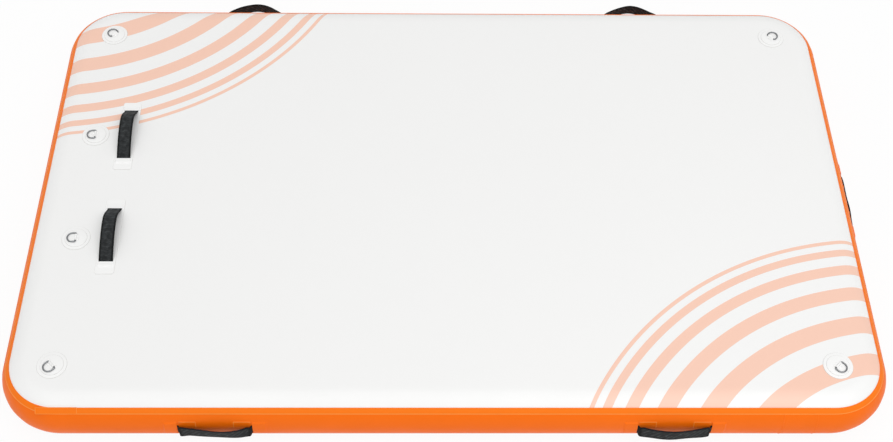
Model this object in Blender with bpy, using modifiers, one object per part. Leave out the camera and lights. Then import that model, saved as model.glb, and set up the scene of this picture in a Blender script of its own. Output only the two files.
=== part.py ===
"""Inflatable dock platform, 8 ft by 5 ft by 6 in, modelled piece by piece.

The frame has its origin at the centre of the bottom face, +X to the end with the single carry
handle, +Y to the far long side where the valve sits, and +Z up through the deck.
"""

import math

import bmesh
import bpy
from mathutils import Vector

# Platform
LENGTH = 2.408
WIDTH = 1.506
THICKNESS = 0.165
CORNER_RADIUS = 0.175
SKIN = 0.0012
WALL = 0.0012
LINER = 0.0010
TAPE = 0.0010
CLEARANCE = 0.0003
LINER_CLEARANCE = 0.0006
BASE_CLOTH = 0.0008
BASE_CLOTH_INSET = 0.010
THREAD_WIDTH = 0.0024
JOINT_TAPE_INSET = 0.264
JOINT_TAPE_WIDTH = 0.090
JOINT_TAPE_GAP = 0.0012

# Angles of the side band, measured at the centre of the half-round side from straight up
SKIN_EDGE_DEG = 43
TAPE_TOP_DEG = 38
TAPE_LOW_DEG = 49
LINER_TOP_DEG = 24
UNDERSIDE_DEG = 180

CORNER_STEPS = 8
SKIN_STEPS = 4
WALL_STEPS = 10
LINER_STEPS = 6
TAPE_STEPS = 2
THREADS_LONG = 12
THREADS_WIDE = 7

# Tie-down rings on the deck
RING_SIDE_INSET = 0.149
RING_END_INSET = 0.152
END_RING_SPREAD = 0.190
RING_PATCH_RADIUS = 0.040
RING_PATCH_TOP_RADIUS = 0.031
RING_PATCH_LAYER = 0.0010
RING_WIRE_RADIUS = 0.0020
RING_HALF_WIDTH = 0.0150
RING_DEPTH = 0.0245
RING_CORNER_RADIUS = 0.0035
RING_TAB_WIDTH = 0.0210
RING_TAB_LENGTH = 0.0170
RING_TAB_THICKNESS = 0.0012
RING_PATCH_SEGMENTS = 24
RING_BOW_STEPS = 9
RING_CORNER_STEPS = 2
RING_TAB_STEPS = 6

# Webbing and the patches that hold its ends
WEBBING_WIDTH = 0.040
WEBBING = 0.0022
STRAP_TAIL = 0.035
PATCH = 0.0010
PATCH_END_MARGIN = 0.010
PATCH_POCKET_MARGIN = 0.0016
PATCH_SLOPE = 0.0040
PATCH_ROOT_GAP = 0.0030

# Grab handles on the deck
DECK_HANDLE_SPAN = 0.187
DECK_HANDLE_RISE = 0.034
DECK_HANDLE_END_INSET = 0.248
DECK_HANDLE_FAR_SPREAD = 0.188
DECK_HANDLE_NEAR_SPREAD = 0.183
DECK_STRAP_TAIL = 0.016
DECK_BASE_MARGIN = 0.007
DECK_BASE_END_MARGIN = 0.036
DECK_BASE_CORNER_RADIUS = 0.004
DECK_BASE_CORNER_STEPS = 3
DECK_PATCH_INSET = 0.0015
DECK_PATCH_SLOPE = 0.0022
ARCH_SHARES = (
    (0.00, 0.00), (0.08, 0.22), (0.20, 0.50), (0.36, 0.77), (0.52, 0.94),
    (0.66, 1.00), (0.77, 0.96), (0.86, 0.76), (0.94, 0.40), (1.00, 0.00),
)

# Carry handles on the side wall
SIDE_HANDLE_SPAN = 0.192
SIDE_HANDLE_RISE = 0.0075
END_HANDLE_RISE = 0.0
NEAR_LEFT_INSET, NEAR_RIGHT_INSET = 0.5905, 0.598
FAR_LEFT_INSET, FAR_RIGHT_INSET = 0.582, 0.585
NEAR_LEG, LOOSE_LEG = 0.0065, 0.0
NEAR_LEFT_BOW, NEAR_RIGHT_BOW = 0.0090, 0.0125
FAR_BOW, END_BOW = 0.0505, 0.0065
SIDE_PATCH_MARGIN = 0.011
SIDE_ROOT_STEEPNESS = 60
SIDE_BOW_POWER = 1.8
GRIP_SHARES = (0.0, 0.25, 0.50, 0.70, 0.85, 0.94, 0.98, 1.0)
GRIP_WIDTH_STEPS = 4

# How far a carry strap leans in over its width, at its roots and in mid-span
ROOT_LEAN_SHARE = 0.19
NEAR_LEFT_LEAN_SHARE = -0.07
NEAR_RIGHT_LEAN_SHARE = 0.02
FAR_LEAN_SHARE = 0.25

# Share of its half span in which a carry strap turns from the wall's curve to flat
NEAR_BLEND_SHARE, FAR_BLEND_SHARE, END_BLEND_SHARE = 0.04, 0.30, 1.0
SIDE_RIM_STEPS = 2

# Inflation valve in the far wall, heights measured outwards from its flange seat
VALVE_DROP = 0.0100
VALVE_BOSS_PROUD = 0.0020
VALVE_BOSS_DEPTH = 0.0395
VALVE_BOSS_RADIUS = 0.0330
VALVE_BOSS_FOOT_RADIUS = 0.0370
VALVE_TUBE_RADIUS = 0.0200
VALVE_TUBE_WALL = 0.0020
VALVE_TUBE_DEPTH = 0.0280
VALVE_LIP = 0.0040
VALVE_LIP_HEIGHT = 0.0020
VALVE_FLANGE_RADIUS = 0.0290
VALVE_FLANGE = 0.0024
VALVE_COLLAR_RADIUS = 0.0235
VALVE_COLLAR_HEIGHT = 0.0050
GASKET = 0.0012
GASKET_INSET = 0.0010
BACKING_RADIUS = 0.0270
BACKING_EDGE = 0.0020
NUT_RADIUS = 0.0262
NUT_HEIGHT = 0.0080
NUT_SIDES = 8
HUB_RADIUS = 0.0058
HUB_HEIGHT = 0.0030
HUB_DEPTH = 0.0200
SPOKE_WIDTH = 0.0032
SPOKES = 3
STEM_RADIUS = 0.0030
STEM_CLEARANCE = 0.0004
BUTTON_RADIUS = 0.0070
BUTTON_HEIGHT = 0.0030
BUTTON_SINK = 0.0010
DISC_RADIUS = 0.0165
DISC_HEIGHT = 0.0022
SEAL_HEIGHT = 0.0024
SEAL_INSET = 0.0005
SPRING_RADIUS = 0.0046
SPRING_WIRE_RADIUS = 0.0005
SPRING_TURNS = 5
CAP_WALL = 0.0024
CAP_TOP = 0.0024
CAP_SEAL_WIDTH = 0.0040
CAP_SEAL_HEIGHT = 0.0013
CAP_GRIP_LENGTH = 0.0340
CAP_GRIP_WIDTH = 0.0060
CAP_GRIP_HEIGHT = 0.0050
VALVE_SEGMENTS = 28
SMALL_SEGMENTS = 16
SPRING_POINTS_PER_TURN = 8

OVERRUN = 0.010
WELD_DISTANCE = 0.00001

FULL_TURN = 2 * math.pi
SIDE_RADIUS = THICKNESS / 2

# Which way a sheet grows from the surface that it is drawn on
INWARD_SHARE, CENTRED_SHARE, OUTWARD_SHARE = -1.0, 0.0, 1.0

# Steps round a quarter of a wire's section, above one
RING_WIRE_STEPS = 2
SPRING_WIRE_STEPS = 1

# Colour, roughness and metallic value of each material
WHITE_PVC = ((0.88, 0.88, 0.88, 1.0), 0.42, 0.0)
PALE_PVC = ((0.82, 0.82, 0.82, 1.0), 0.50, 0.0)
ORANGE_PVC = ((0.90, 0.17, 0.02, 1.0), 0.35, 0.0)
WEBBING_CLOTH = ((0.03, 0.03, 0.032, 1.0), 0.88, 0.0)
CORE_CLOTH = ((0.75, 0.74, 0.70, 1.0), 0.90, 0.0)
RUBBER = ((0.03, 0.03, 0.032, 1.0), 0.80, 0.0)
BLACK_PLASTIC = ((0.03, 0.03, 0.032, 1.0), 0.40, 0.0)
GREY_PLASTIC = ((0.25, 0.26, 0.27, 1.0), 0.48, 0.0)
STEEL = ((0.62, 0.62, 0.64, 1.0), 0.22, 1.0)


# Scene, materials and objects

def clear_scene():
    for old in list(bpy.data.objects):
        bpy.data.objects.remove(old, do_unlink=True)


def new_collection(name):
    found = bpy.data.collections.new(name)
    bpy.context.scene.collection.children.link(found)
    return found


def paint(obj, finish):
    """Give an object its own material."""
    colour, roughness, metallic = finish
    material = bpy.data.materials.new(obj.name)
    material.use_nodes = True
    shader = material.node_tree.nodes["Principled BSDF"]
    shader.inputs["Base Color"].default_value = colour
    shader.inputs["Roughness"].default_value = roughness
    shader.inputs["Metallic"].default_value = metallic
    obj.data.materials.clear()
    obj.data.materials.append(material)


def mesh_object(name, bm, home):
    """Turn a bmesh into an object in a collection."""
    mesh = bpy.data.meshes.new(name)
    bm.to_mesh(mesh)
    bm.free()
    obj = bpy.data.objects.new(name, mesh)
    home.objects.link(obj)
    return obj


def empty(name, home, location, rotation=(0, 0, 0), parent=None):
    made = bpy.data.objects.new(name, None)
    home.objects.link(made)
    made.parent = parent
    made.location = location
    made.rotation_euler = rotation
    return made


def thicken(obj, thickness, offset):
    solid = obj.modifiers.new("thickness", "SOLIDIFY")
    solid.thickness = thickness
    solid.offset = offset
    solid.use_even_offset = True


def join(obj, other, operation):
    """Cut or join an object with a second one, which is kept as a hidden cutter."""
    step = obj.modifiers.new(operation.lower(), "BOOLEAN")
    step.operation = operation
    step.solver = "EXACT"
    step.object = other


def as_cutter(obj):
    obj.hide_render = True
    obj.display_type = "WIRE"


def cylinder(name, home, radius, bottom, top, segments, foot_radius=None):
    """Upright cylinder or cone between two heights."""
    bm = bmesh.new()
    bmesh.ops.create_cone(
        bm, cap_ends=True, segments=segments,
        radius1=radius if foot_radius is None else foot_radius, radius2=radius,
        depth=top - bottom)
    bmesh.ops.translate(bm, verts=bm.verts, vec=(0, 0, (top + bottom) / 2))
    return mesh_object(name, bm, home)


def block(name, home, size, centre):
    bm = bmesh.new()
    bmesh.ops.create_cube(bm, size=1.0)
    bmesh.ops.scale(bm, verts=bm.verts, vec=size)
    bmesh.ops.translate(bm, verts=bm.verts, vec=centre)
    return mesh_object(name, bm, home)


def turned(name, home, profile, segments):
    """Closed profile of (radius, height) points, turned once round the upright axis."""
    bm = bmesh.new()
    verts = [bm.verts.new((radius, 0, height)) for radius, height in profile]
    for index, vert in enumerate(verts):
        bm.edges.new((vert, verts[(index + 1) % len(verts)]))
    obj = mesh_object(name, bm, home)
    screw = obj.modifiers.new("turn", "SCREW")
    screw.steps = segments
    screw.render_steps = segments
    screw.use_merge_vertices = True
    screw.merge_threshold = WELD_DISTANCE
    return obj


def ring_profile(inner, outer, bottom, top):
    return [(inner, top), (outer, top), (outer, bottom), (inner, bottom)]


def outlined(name, home, points, thickness):
    """Flat outline in the local XY plane, extruded evenly to both sides."""
    curve = bpy.data.curves.new(name, "CURVE")
    curve.dimensions = "2D"
    curve.fill_mode = "BOTH"
    curve.extrude = thickness / 2
    line = curve.splines.new("POLY")
    line.points.add(len(points) - 1)
    for point, (x, y) in zip(line.points, points):
        point.co = (x, y, 0, 1)
    line.use_cyclic_u = True
    obj = bpy.data.objects.new(name, curve)
    home.objects.link(obj)
    return obj


def wire(name, home, points, radius, closed, resolution):
    """Round wire along a line of points."""
    curve = bpy.data.curves.new(name, "CURVE")
    curve.dimensions = "3D"
    curve.bevel_depth = radius
    curve.bevel_resolution = resolution
    curve.use_fill_caps = not closed
    line = curve.splines.new("POLY")
    line.points.add(len(points) - 1)
    for point, place in zip(line.points, points):
        point.co = (*place, 1)
    line.use_cyclic_u = closed
    obj = bpy.data.objects.new(name, curve)
    home.objects.link(obj)
    return obj


def sheet(name, home, place, columns, rows, thickness, offset):
    """Sheet whose grid point (column, row) lies at place(column, row), given a thickness."""
    bm = bmesh.new()
    bmesh.ops.create_grid(bm, x_segments=columns, y_segments=rows, size=1)
    for vert in bm.verts:
        column = round((vert.co.x + 1) / 2 * columns)
        row = round((vert.co.y + 1) / 2 * rows)
        vert.co = place(column, row)
    obj = mesh_object(name, bm, home)
    thicken(obj, thickness, offset)
    return obj


def arc(centre, radius, start, stop, steps):
    """Points on an arc in a plane, from one angle to another."""
    turns = [start + (stop - start) * step / steps for step in range(steps + 1)]
    return [(centre[0] + radius * math.cos(t), centre[1] + radius * math.sin(t)) for t in turns]


# The air chamber

def core_point(x, y):
    """Nearest point of the rectangle that joins the plan centres of the four corners."""
    reach_x = LENGTH / 2 - CORNER_RADIUS
    reach_y = WIDTH / 2 - CORNER_RADIUS
    return Vector((min(max(x, -reach_x), reach_x), min(max(y, -reach_y), reach_y)))


def outline(outset=0.0):
    """Plan outline of the flat face, moved outwards by an outset."""
    reach_x = LENGTH / 2 - CORNER_RADIUS
    reach_y = WIDTH / 2 - CORNER_RADIUS
    radius = CORNER_RADIUS - SIDE_RADIUS + outset
    points = []
    for quarter, (side_x, side_y) in enumerate(((1, 1), (-1, 1), (-1, -1), (1, -1))):
        start = quarter * FULL_TURN / 4
        centre = (side_x * reach_x, side_y * reach_y)
        points += arc(centre, radius, start, start + FULL_TURN / 4, CORNER_STEPS)
    return points


def edge_band(name, home, radius, start, stop, steps, thickness, filled=False):
    """Shell swept round the platform's edge between two angles of the half-round side."""
    def place(plan, angle):
        base = core_point(*plan)
        away = (plan - base).normalized()
        flat = base + away * (CORNER_RADIUS - SIDE_RADIUS + radius * math.sin(angle))
        return (flat.x, flat.y, SIDE_RADIUS + radius * math.cos(angle))

    bm = bmesh.new()
    verts = [bm.verts.new(place(Vector(point), start)) for point in outline()]
    pairs = zip(verts, verts[1:] + verts[:1])
    edges = [bm.edges.new(pair) for pair in pairs]
    if filled:
        bmesh.ops.contextual_create(bm, geom=edges)
    for step in range(1, steps + 1):
        angle = start + (stop - start) * step / steps
        grown = bmesh.ops.extrude_edge_only(bm, edges=edges)["geom"]
        edges = [item for item in grown if isinstance(item, bmesh.types.BMEdge)]
        for vert in [item for item in grown if isinstance(item, bmesh.types.BMVert)]:
            vert.co = place(vert.co.xy, angle)
    bmesh.ops.recalc_face_normals(bm, faces=bm.faces)
    sample = max(bm.faces, key=lambda face: face.calc_center_median().x)
    if sample.normal.x < 0:
        bmesh.ops.reverse_faces(bm, faces=bm.faces)
    obj = mesh_object(name, bm, home)
    thicken(obj, thickness, INWARD_SHARE)
    return obj


def add_chamber(home, tools):
    """Skins, side walls and seam tapes, and the threads that hold the two faces level."""
    edge = math.radians(SKIN_EDGE_DEG)
    wall_edge = edge + CLEARANCE / SIDE_RADIUS
    tape_top = math.radians(TAPE_TOP_DEG)
    tape_low = math.radians(TAPE_LOW_DEG)
    liner_top = math.radians(LINER_TOP_DEG)
    half_turn = math.radians(UNDERSIDE_DEG)

    deck = edge_band("deck_skin", home, SIDE_RADIUS, 0, edge, SKIN_STEPS, SKIN, filled=True)
    bottom = edge_band(
        "bottom_skin", home, SIDE_RADIUS, half_turn, half_turn - edge, SKIN_STEPS, SKIN, filled=True)
    paint(deck, WHITE_PVC)
    paint(bottom, WHITE_PVC)

    wall = edge_band(
        "side_wall", home, SIDE_RADIUS, wall_edge, half_turn - wall_edge, WALL_STEPS, WALL)
    paint(wall, ORANGE_PVC)
    liner = edge_band(
        "side_wall_liner", home, SIDE_RADIUS - WALL - LINER_CLEARANCE,
        liner_top, half_turn - liner_top, LINER_STEPS, LINER)
    paint(liner, PALE_PVC)
    tape_radius = SIDE_RADIUS + CLEARANCE + TAPE
    for name, start, stop in (
            ("top_seam_tape", tape_top, tape_low),
            ("bottom_seam_tape", half_turn - tape_top, half_turn - tape_low)):
        tape = edge_band(name, home, tape_radius, start, stop, TAPE_STEPS, TAPE)
        paint(tape, ORANGE_PVC)

    add_joint_tape(home, tape_radius, tape_low + JOINT_TAPE_GAP / tape_radius)
    add_core(home, tools)
    return wall, liner


def add_joint_tape(home, radius, start):
    """Upright tape over the place where the side wall's strip ends meet."""
    rows = WALL_STEPS
    span = math.radians(UNDERSIDE_DEG) - 2 * start

    def place(column, row):
        angle = start + span * row / rows
        x = LENGTH / 2 - JOINT_TAPE_INSET + JOINT_TAPE_WIDTH * (column - 1 / 2)
        y = -(WIDTH / 2 - SIDE_RADIUS) - radius * math.sin(angle)
        return (x, y, SIDE_RADIUS + radius * math.cos(angle))

    tape = sheet("wall_joint_tape", home, place, 1, rows, TAPE, OUTWARD_SHARE)
    paint(tape, ORANGE_PVC)


def add_core(home, tools):
    """Two base cloths tied together by upright bundles of thread."""
    top = THICKNESS - SKIN - CLEARANCE
    bottom = SKIN + CLEARANCE
    bm = bmesh.new()
    for low in (bottom, top - BASE_CLOTH):
        verts = [bm.verts.new((x, y, low)) for x, y in outline(-BASE_CLOTH_INSET)]
        edges = [bm.edges.new(pair) for pair in zip(verts, verts[1:] + verts[:1])]
        face = bmesh.ops.contextual_create(bm, geom=edges)["faces"]
        grown = bmesh.ops.extrude_face_region(bm, geom=face)["geom"]
        lifted = [item for item in grown if isinstance(item, bmesh.types.BMVert)]
        bmesh.ops.translate(bm, verts=lifted, vec=(0, 0, BASE_CLOTH))
    bmesh.ops.recalc_face_normals(bm, faces=bm.faces)
    cloths = mesh_object("drop_stitch_core", bm, home)
    paint(cloths, CORE_CLOTH)

    bm = bmesh.new()
    flat_x = LENGTH - 2 * SIDE_RADIUS
    flat_y = WIDTH - 2 * SIDE_RADIUS
    for column in range(THREADS_LONG):
        for row in range(THREADS_WIDE):
            x = flat_x * (2 * column + 1 - THREADS_LONG) / (2 * THREADS_LONG)
            y = flat_y * (2 * row + 1 - THREADS_WIDE) / (2 * THREADS_WIDE)
            made = bmesh.ops.create_cube(bm, size=1.0)["verts"]
            height = top - bottom - BASE_CLOTH
            bmesh.ops.scale(bm, verts=made, vec=(THREAD_WIDTH, THREAD_WIDTH, height))
            bmesh.ops.translate(bm, verts=made, vec=(x, y, SIDE_RADIUS))
    threads = mesh_object("threads", bm, tools)
    as_cutter(threads)
    join(cloths, threads, "UNION")


# Tie-down rings

def ring_places():
    """Name, plan position and outward direction of each ring on the deck."""
    x = LENGTH / 2 - RING_END_INSET
    y = WIDTH / 2 - RING_SIDE_INSET
    eighth = FULL_TURN / 8
    return (
        ("far_left", -x, y, 3 * eighth),
        ("far_right", x, y, eighth),
        ("near_left", -x, -y, 5 * eighth),
        ("near_right", x, -y, 7 * eighth),
        ("end_far", -x, END_RING_SPREAD, 4 * eighth),
        ("end_near", -x, -END_RING_SPREAD, 4 * eighth),
    )


def ring_line():
    """Centre line of the wire: a straight bar on the hinge axis, sides and a half-round bow."""
    half_width = RING_HALF_WIDTH
    corner = RING_CORNER_RADIUS
    shoulder = RING_DEPTH - half_width
    quarter = FULL_TURN / 4
    bow = arc((shoulder, 0), half_width, -quarter, quarter, RING_BOW_STEPS)
    left = arc((corner, half_width - corner), corner, quarter, 2 * quarter, RING_CORNER_STEPS)
    right = arc((corner, corner - half_width), corner, 2 * quarter, 3 * quarter, RING_CORNER_STEPS)
    return [(x, y, 0) for x, y in bow + left + right]


def tab_outline():
    """Side view of the strap that loops over the bar, with a flat tail on each side."""
    inner = RING_WIRE_RADIUS + CLEARANCE
    outer = inner + RING_TAB_THICKNESS
    foot = -RING_WIRE_RADIUS
    shelf = foot + RING_TAB_THICKNESS
    tail = RING_TAB_LENGTH / 2
    turn = FULL_TURN / 2
    low = math.asin(min(0.0, shelf) / outer)
    over = arc((0, 0), outer, low, turn - low, RING_TAB_STEPS)
    under = arc((0, 0), inner, turn, 0, RING_TAB_STEPS)
    return (
        [(tail, foot), (tail, shelf)] + over + [(-tail, shelf), (-tail, foot), (-inner, foot)]
        + under + [(inner, foot)])


def add_rings(home):
    bar_height = CLEARANCE + 2 * RING_PATCH_LAYER + CLEARANCE + RING_WIRE_RADIUS
    for name, x, y, direction in ring_places():
        seat = empty(f"seat_{name}", home, (x, y, THICKNESS), (0, 0, direction))
        patch = cylinder(
            f"dring_patch_{name}", home, RING_PATCH_RADIUS, CLEARANCE,
            CLEARANCE + RING_PATCH_LAYER, RING_PATCH_SEGMENTS)
        step_up(patch, RING_PATCH_RADIUS - RING_PATCH_TOP_RADIUS, RING_PATCH_LAYER)
        patch.parent = seat
        paint(patch, WHITE_PVC)

        hinge = empty(f"hinge_{name}", home, (0, 0, bar_height), (0, 0, 0), seat)
        ring = wire(f"dring_{name}", home, ring_line(), RING_WIRE_RADIUS, True, RING_WIRE_STEPS)
        ring.parent = hinge
        paint(ring, STEEL)

        tab = outlined(f"dring_tab_{name}", home, tab_outline(), RING_TAB_WIDTH)
        tab.parent = seat
        tab.location = (0, 0, bar_height)
        tab.rotation_euler = (FULL_TURN / 4, 0, 0)
        paint(tab, WHITE_PVC)


def step_up(obj, inset, height):
    """Raise a smaller round layer on the top face of a disc."""
    bm = bmesh.new()
    bm.from_mesh(obj.data)
    top = max(bm.faces, key=lambda face: face.calc_center_median().z)
    bmesh.ops.inset_individual(bm, faces=[top], thickness=inset)
    grown = bmesh.ops.extrude_discrete_faces(bm, faces=[top])["faces"]
    bmesh.ops.translate(bm, verts=grown[0].verts, vec=(0, 0, height))
    bm.to_mesh(obj.data)
    bm.free()


# Webbing handles

def pocket_height():
    """Height of a patch's outer face above its seat where it covers a strap tail."""
    return CLEARANCE + WEBBING + CLEARANCE + PATCH


def patch_lines(slope_width, edge, rim_steps):
    """Places across a patch out to its edge, each with 1 where the strap raises it."""
    pocket = WEBBING_WIDTH / 2 + PATCH_POCKET_MARGIN
    foot = pocket + slope_width
    half = [(WEBBING_WIDTH / 4, 1), (pocket, 1), (foot, 0)]
    half += [(foot + (edge - foot) * step / rim_steps, 0) for step in range(1, rim_steps + 1)]
    return [(-w, up) for w, up in reversed(half)] + [(0.0, 1)] + half


def patch_reaches(tail, slope_width, edge):
    """Places along a patch from the strap's root to its edge, with 1 where it is raised."""
    pocket = tail + PATCH_POCKET_MARGIN
    return [(PATCH_ROOT_GAP, 1), (pocket, 1), (pocket + slope_width, 0), (edge, 0)]


def patch_sheet(name, home, seat, across, along, side):
    """Patch over a strap tail; seat(along, across, height) gives a point over what carries it."""
    low = CLEARANCE + PATCH
    rise = pocket_height() - low

    def place(column, row):
        reach, raised_along = along[column]
        width, raised_across = across[row]
        return seat(side * reach, width, low + rise * raised_along * raised_across)

    return sheet(name, home, place, len(along) - 1, len(across) - 1, PATCH, side)


def rounded_rectangle(half_x, half_y, radius, steps):
    points = []
    for quarter, (side_x, side_y) in enumerate(((1, 1), (-1, 1), (-1, -1), (1, -1))):
        start = quarter * FULL_TURN / 4
        centre = (side_x * (half_x - radius), side_y * (half_y - radius))
        points += arc(centre, radius, start, start + FULL_TURN / 4, steps)
    return points


def add_deck_handles(home):
    """Two arched grab straps across the end of the deck, on long base patches."""
    x = DECK_HANDLE_END_INSET - LENGTH / 2
    half_span = DECK_HANDLE_SPAN / 2
    base_half_width = WEBBING_WIDTH / 2 + DECK_BASE_MARGIN
    base_reach = half_span + DECK_BASE_END_MARGIN
    base_outline = rounded_rectangle(
        base_half_width, base_reach, DECK_BASE_CORNER_RADIUS, DECK_BASE_CORNER_STEPS)
    base_top = CLEARANCE + PATCH
    across = patch_lines(DECK_PATCH_SLOPE, base_half_width - DECK_PATCH_INSET, 1)
    along = patch_reaches(
        DECK_STRAP_TAIL, DECK_PATCH_SLOPE, DECK_BASE_END_MARGIN - DECK_PATCH_INSET)
    tail_height = base_top + CLEARANCE + WEBBING / 2
    line = [(-half_span - DECK_STRAP_TAIL, 0.0)]
    line += [((run - 1 / 2) * DECK_HANDLE_SPAN, up * DECK_HANDLE_RISE) for run, up in ARCH_SHARES]
    line += [(half_span + DECK_STRAP_TAIL, 0.0)]

    def strap_point(column, row):
        y, height = line[column]
        return ((row - 1 / 2) * WEBBING_WIDTH, y, tail_height + height)

    for name, y in (("far", DECK_HANDLE_FAR_SPREAD), ("near", -DECK_HANDLE_NEAR_SPREAD)):
        seat = empty(f"seat_deck_handle_{name}", home, (x, y, THICKNESS))
        base = outlined(f"deck_handle_{name}_base", home, base_outline, PATCH)
        base.parent = seat
        base.location = (0, 0, CLEARANCE + PATCH / 2)
        paint(base, WHITE_PVC)
        strap = sheet(
            f"deck_handle_{name}", home, strap_point, len(line) - 1, 1, WEBBING, CENTRED_SHARE)
        strap.parent = seat
        paint(strap, WEBBING_CLOTH)
        for end, side in (("far", 1), ("near", -1)):
            root = side * half_span

            def seat_point(reach, width, height, root=root):
                return (width, root + reach, base_top + height)

            patch = patch_sheet(
                f"deck_handle_{name}_patch_{end}", home, seat_point, across, along, side)
            patch.parent = seat
            paint(patch, WHITE_PVC)


def wall_point(x, across, height, rise):
    """Point over the half-round wall, in a handle's frame whose origin is the arc's centre."""
    angle = math.asin(rise / SIDE_RADIUS) + across / SIDE_RADIUS
    radius = SIDE_RADIUS + height
    return Vector((x, radius * math.cos(angle), radius * math.sin(angle)))


def grip_point(x, across, form):
    """Centre surface of a carry strap: curved like the wall at its roots, flat in mid-span."""
    rise, leg, bow, lean, blend = form
    share = abs(x) / (SIDE_HANDLE_SPAN / 2)
    standoff = CLEARANCE + WEBBING / 2
    if share >= 1:
        return wall_point(x, across, standoff, rise)
    lift = leg * (1 - share ** SIDE_ROOT_STEEPNESS) + bow * (1 - share ** SIDE_BOW_POWER)
    tilt = lean + (ROOT_LEAN_SHARE - lean) * share ** 2
    mix = min(1.0, (1 - share) / blend)
    flat = Vector((x, SIDE_RADIUS + standoff + lift - across * tilt, rise + across))
    return wall_point(x, across, standoff + lift, rise).lerp(flat, mix)


def side_handle_places():
    """Name, plan position, turn and form of each carry handle."""
    side = WIDTH / 2 - SIDE_RADIUS
    half = LENGTH / 2
    half_turn = FULL_TURN / 2
    near_left = (SIDE_HANDLE_RISE, NEAR_LEG, NEAR_LEFT_BOW, NEAR_LEFT_LEAN_SHARE, NEAR_BLEND_SHARE)
    near_right = (
        SIDE_HANDLE_RISE, NEAR_LEG, NEAR_RIGHT_BOW, NEAR_RIGHT_LEAN_SHARE, NEAR_BLEND_SHARE)
    far = (SIDE_HANDLE_RISE, LOOSE_LEG, FAR_BOW, FAR_LEAN_SHARE, FAR_BLEND_SHARE)
    end = (END_HANDLE_RISE, LOOSE_LEG, END_BOW, ROOT_LEAN_SHARE, END_BLEND_SHARE)
    return (
        ("near_left", NEAR_LEFT_INSET - half, -side, half_turn, near_left),
        ("near_right", half - NEAR_RIGHT_INSET, -side, half_turn, near_right),
        ("far_left", FAR_LEFT_INSET - half, side, 0, far),
        ("far_right", half - FAR_RIGHT_INSET, side, 0, far),
        ("end", half - SIDE_RADIUS, 0, 3 * FULL_TURN / 4, end),
    )


def add_side_handles(home):
    """Five carry straps on the side wall, each held by a patch at both ends."""
    half_span = SIDE_HANDLE_SPAN / 2
    half_line = [share * half_span for share in GRIP_SHARES] + [half_span + STRAP_TAIL]
    line = [-x for x in reversed(half_line[1:])] + half_line
    foot = WEBBING_WIDTH / 2 + PATCH_POCKET_MARGIN + PATCH_SLOPE
    across = patch_lines(PATCH_SLOPE, foot + SIDE_PATCH_MARGIN, SIDE_RIM_STEPS)
    tail_foot = STRAP_TAIL + PATCH_POCKET_MARGIN + PATCH_SLOPE
    along = patch_reaches(STRAP_TAIL, PATCH_SLOPE, tail_foot + PATCH_END_MARGIN)

    for name, x, y, turn, form in side_handle_places():
        seat = empty(f"seat_{name}_handle", home, (x, y, SIDE_RADIUS), (0, 0, turn))

        def strap_point(column, row, form=form):
            width = WEBBING_WIDTH * (row / GRIP_WIDTH_STEPS - 1 / 2)
            return grip_point(line[column], width, form)

        strap = sheet(
            f"{name}_handle", home, strap_point, len(line) - 1, GRIP_WIDTH_STEPS, WEBBING,
            CENTRED_SHARE)
        strap.parent = seat
        paint(strap, WEBBING_CLOTH)
        for end, side in (("a", 1), ("b", -1)):
            root = side * half_span

            def seat_point(reach, width, height, root=root, rise=form[0]):
                return wall_point(root + reach, width, height, rise)

            patch = patch_sheet(
                f"{name}_handle_patch_{end}", home, seat_point, across, along, side)
            patch.parent = seat
            paint(patch, ORANGE_PVC)


# Inflation valve

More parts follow.
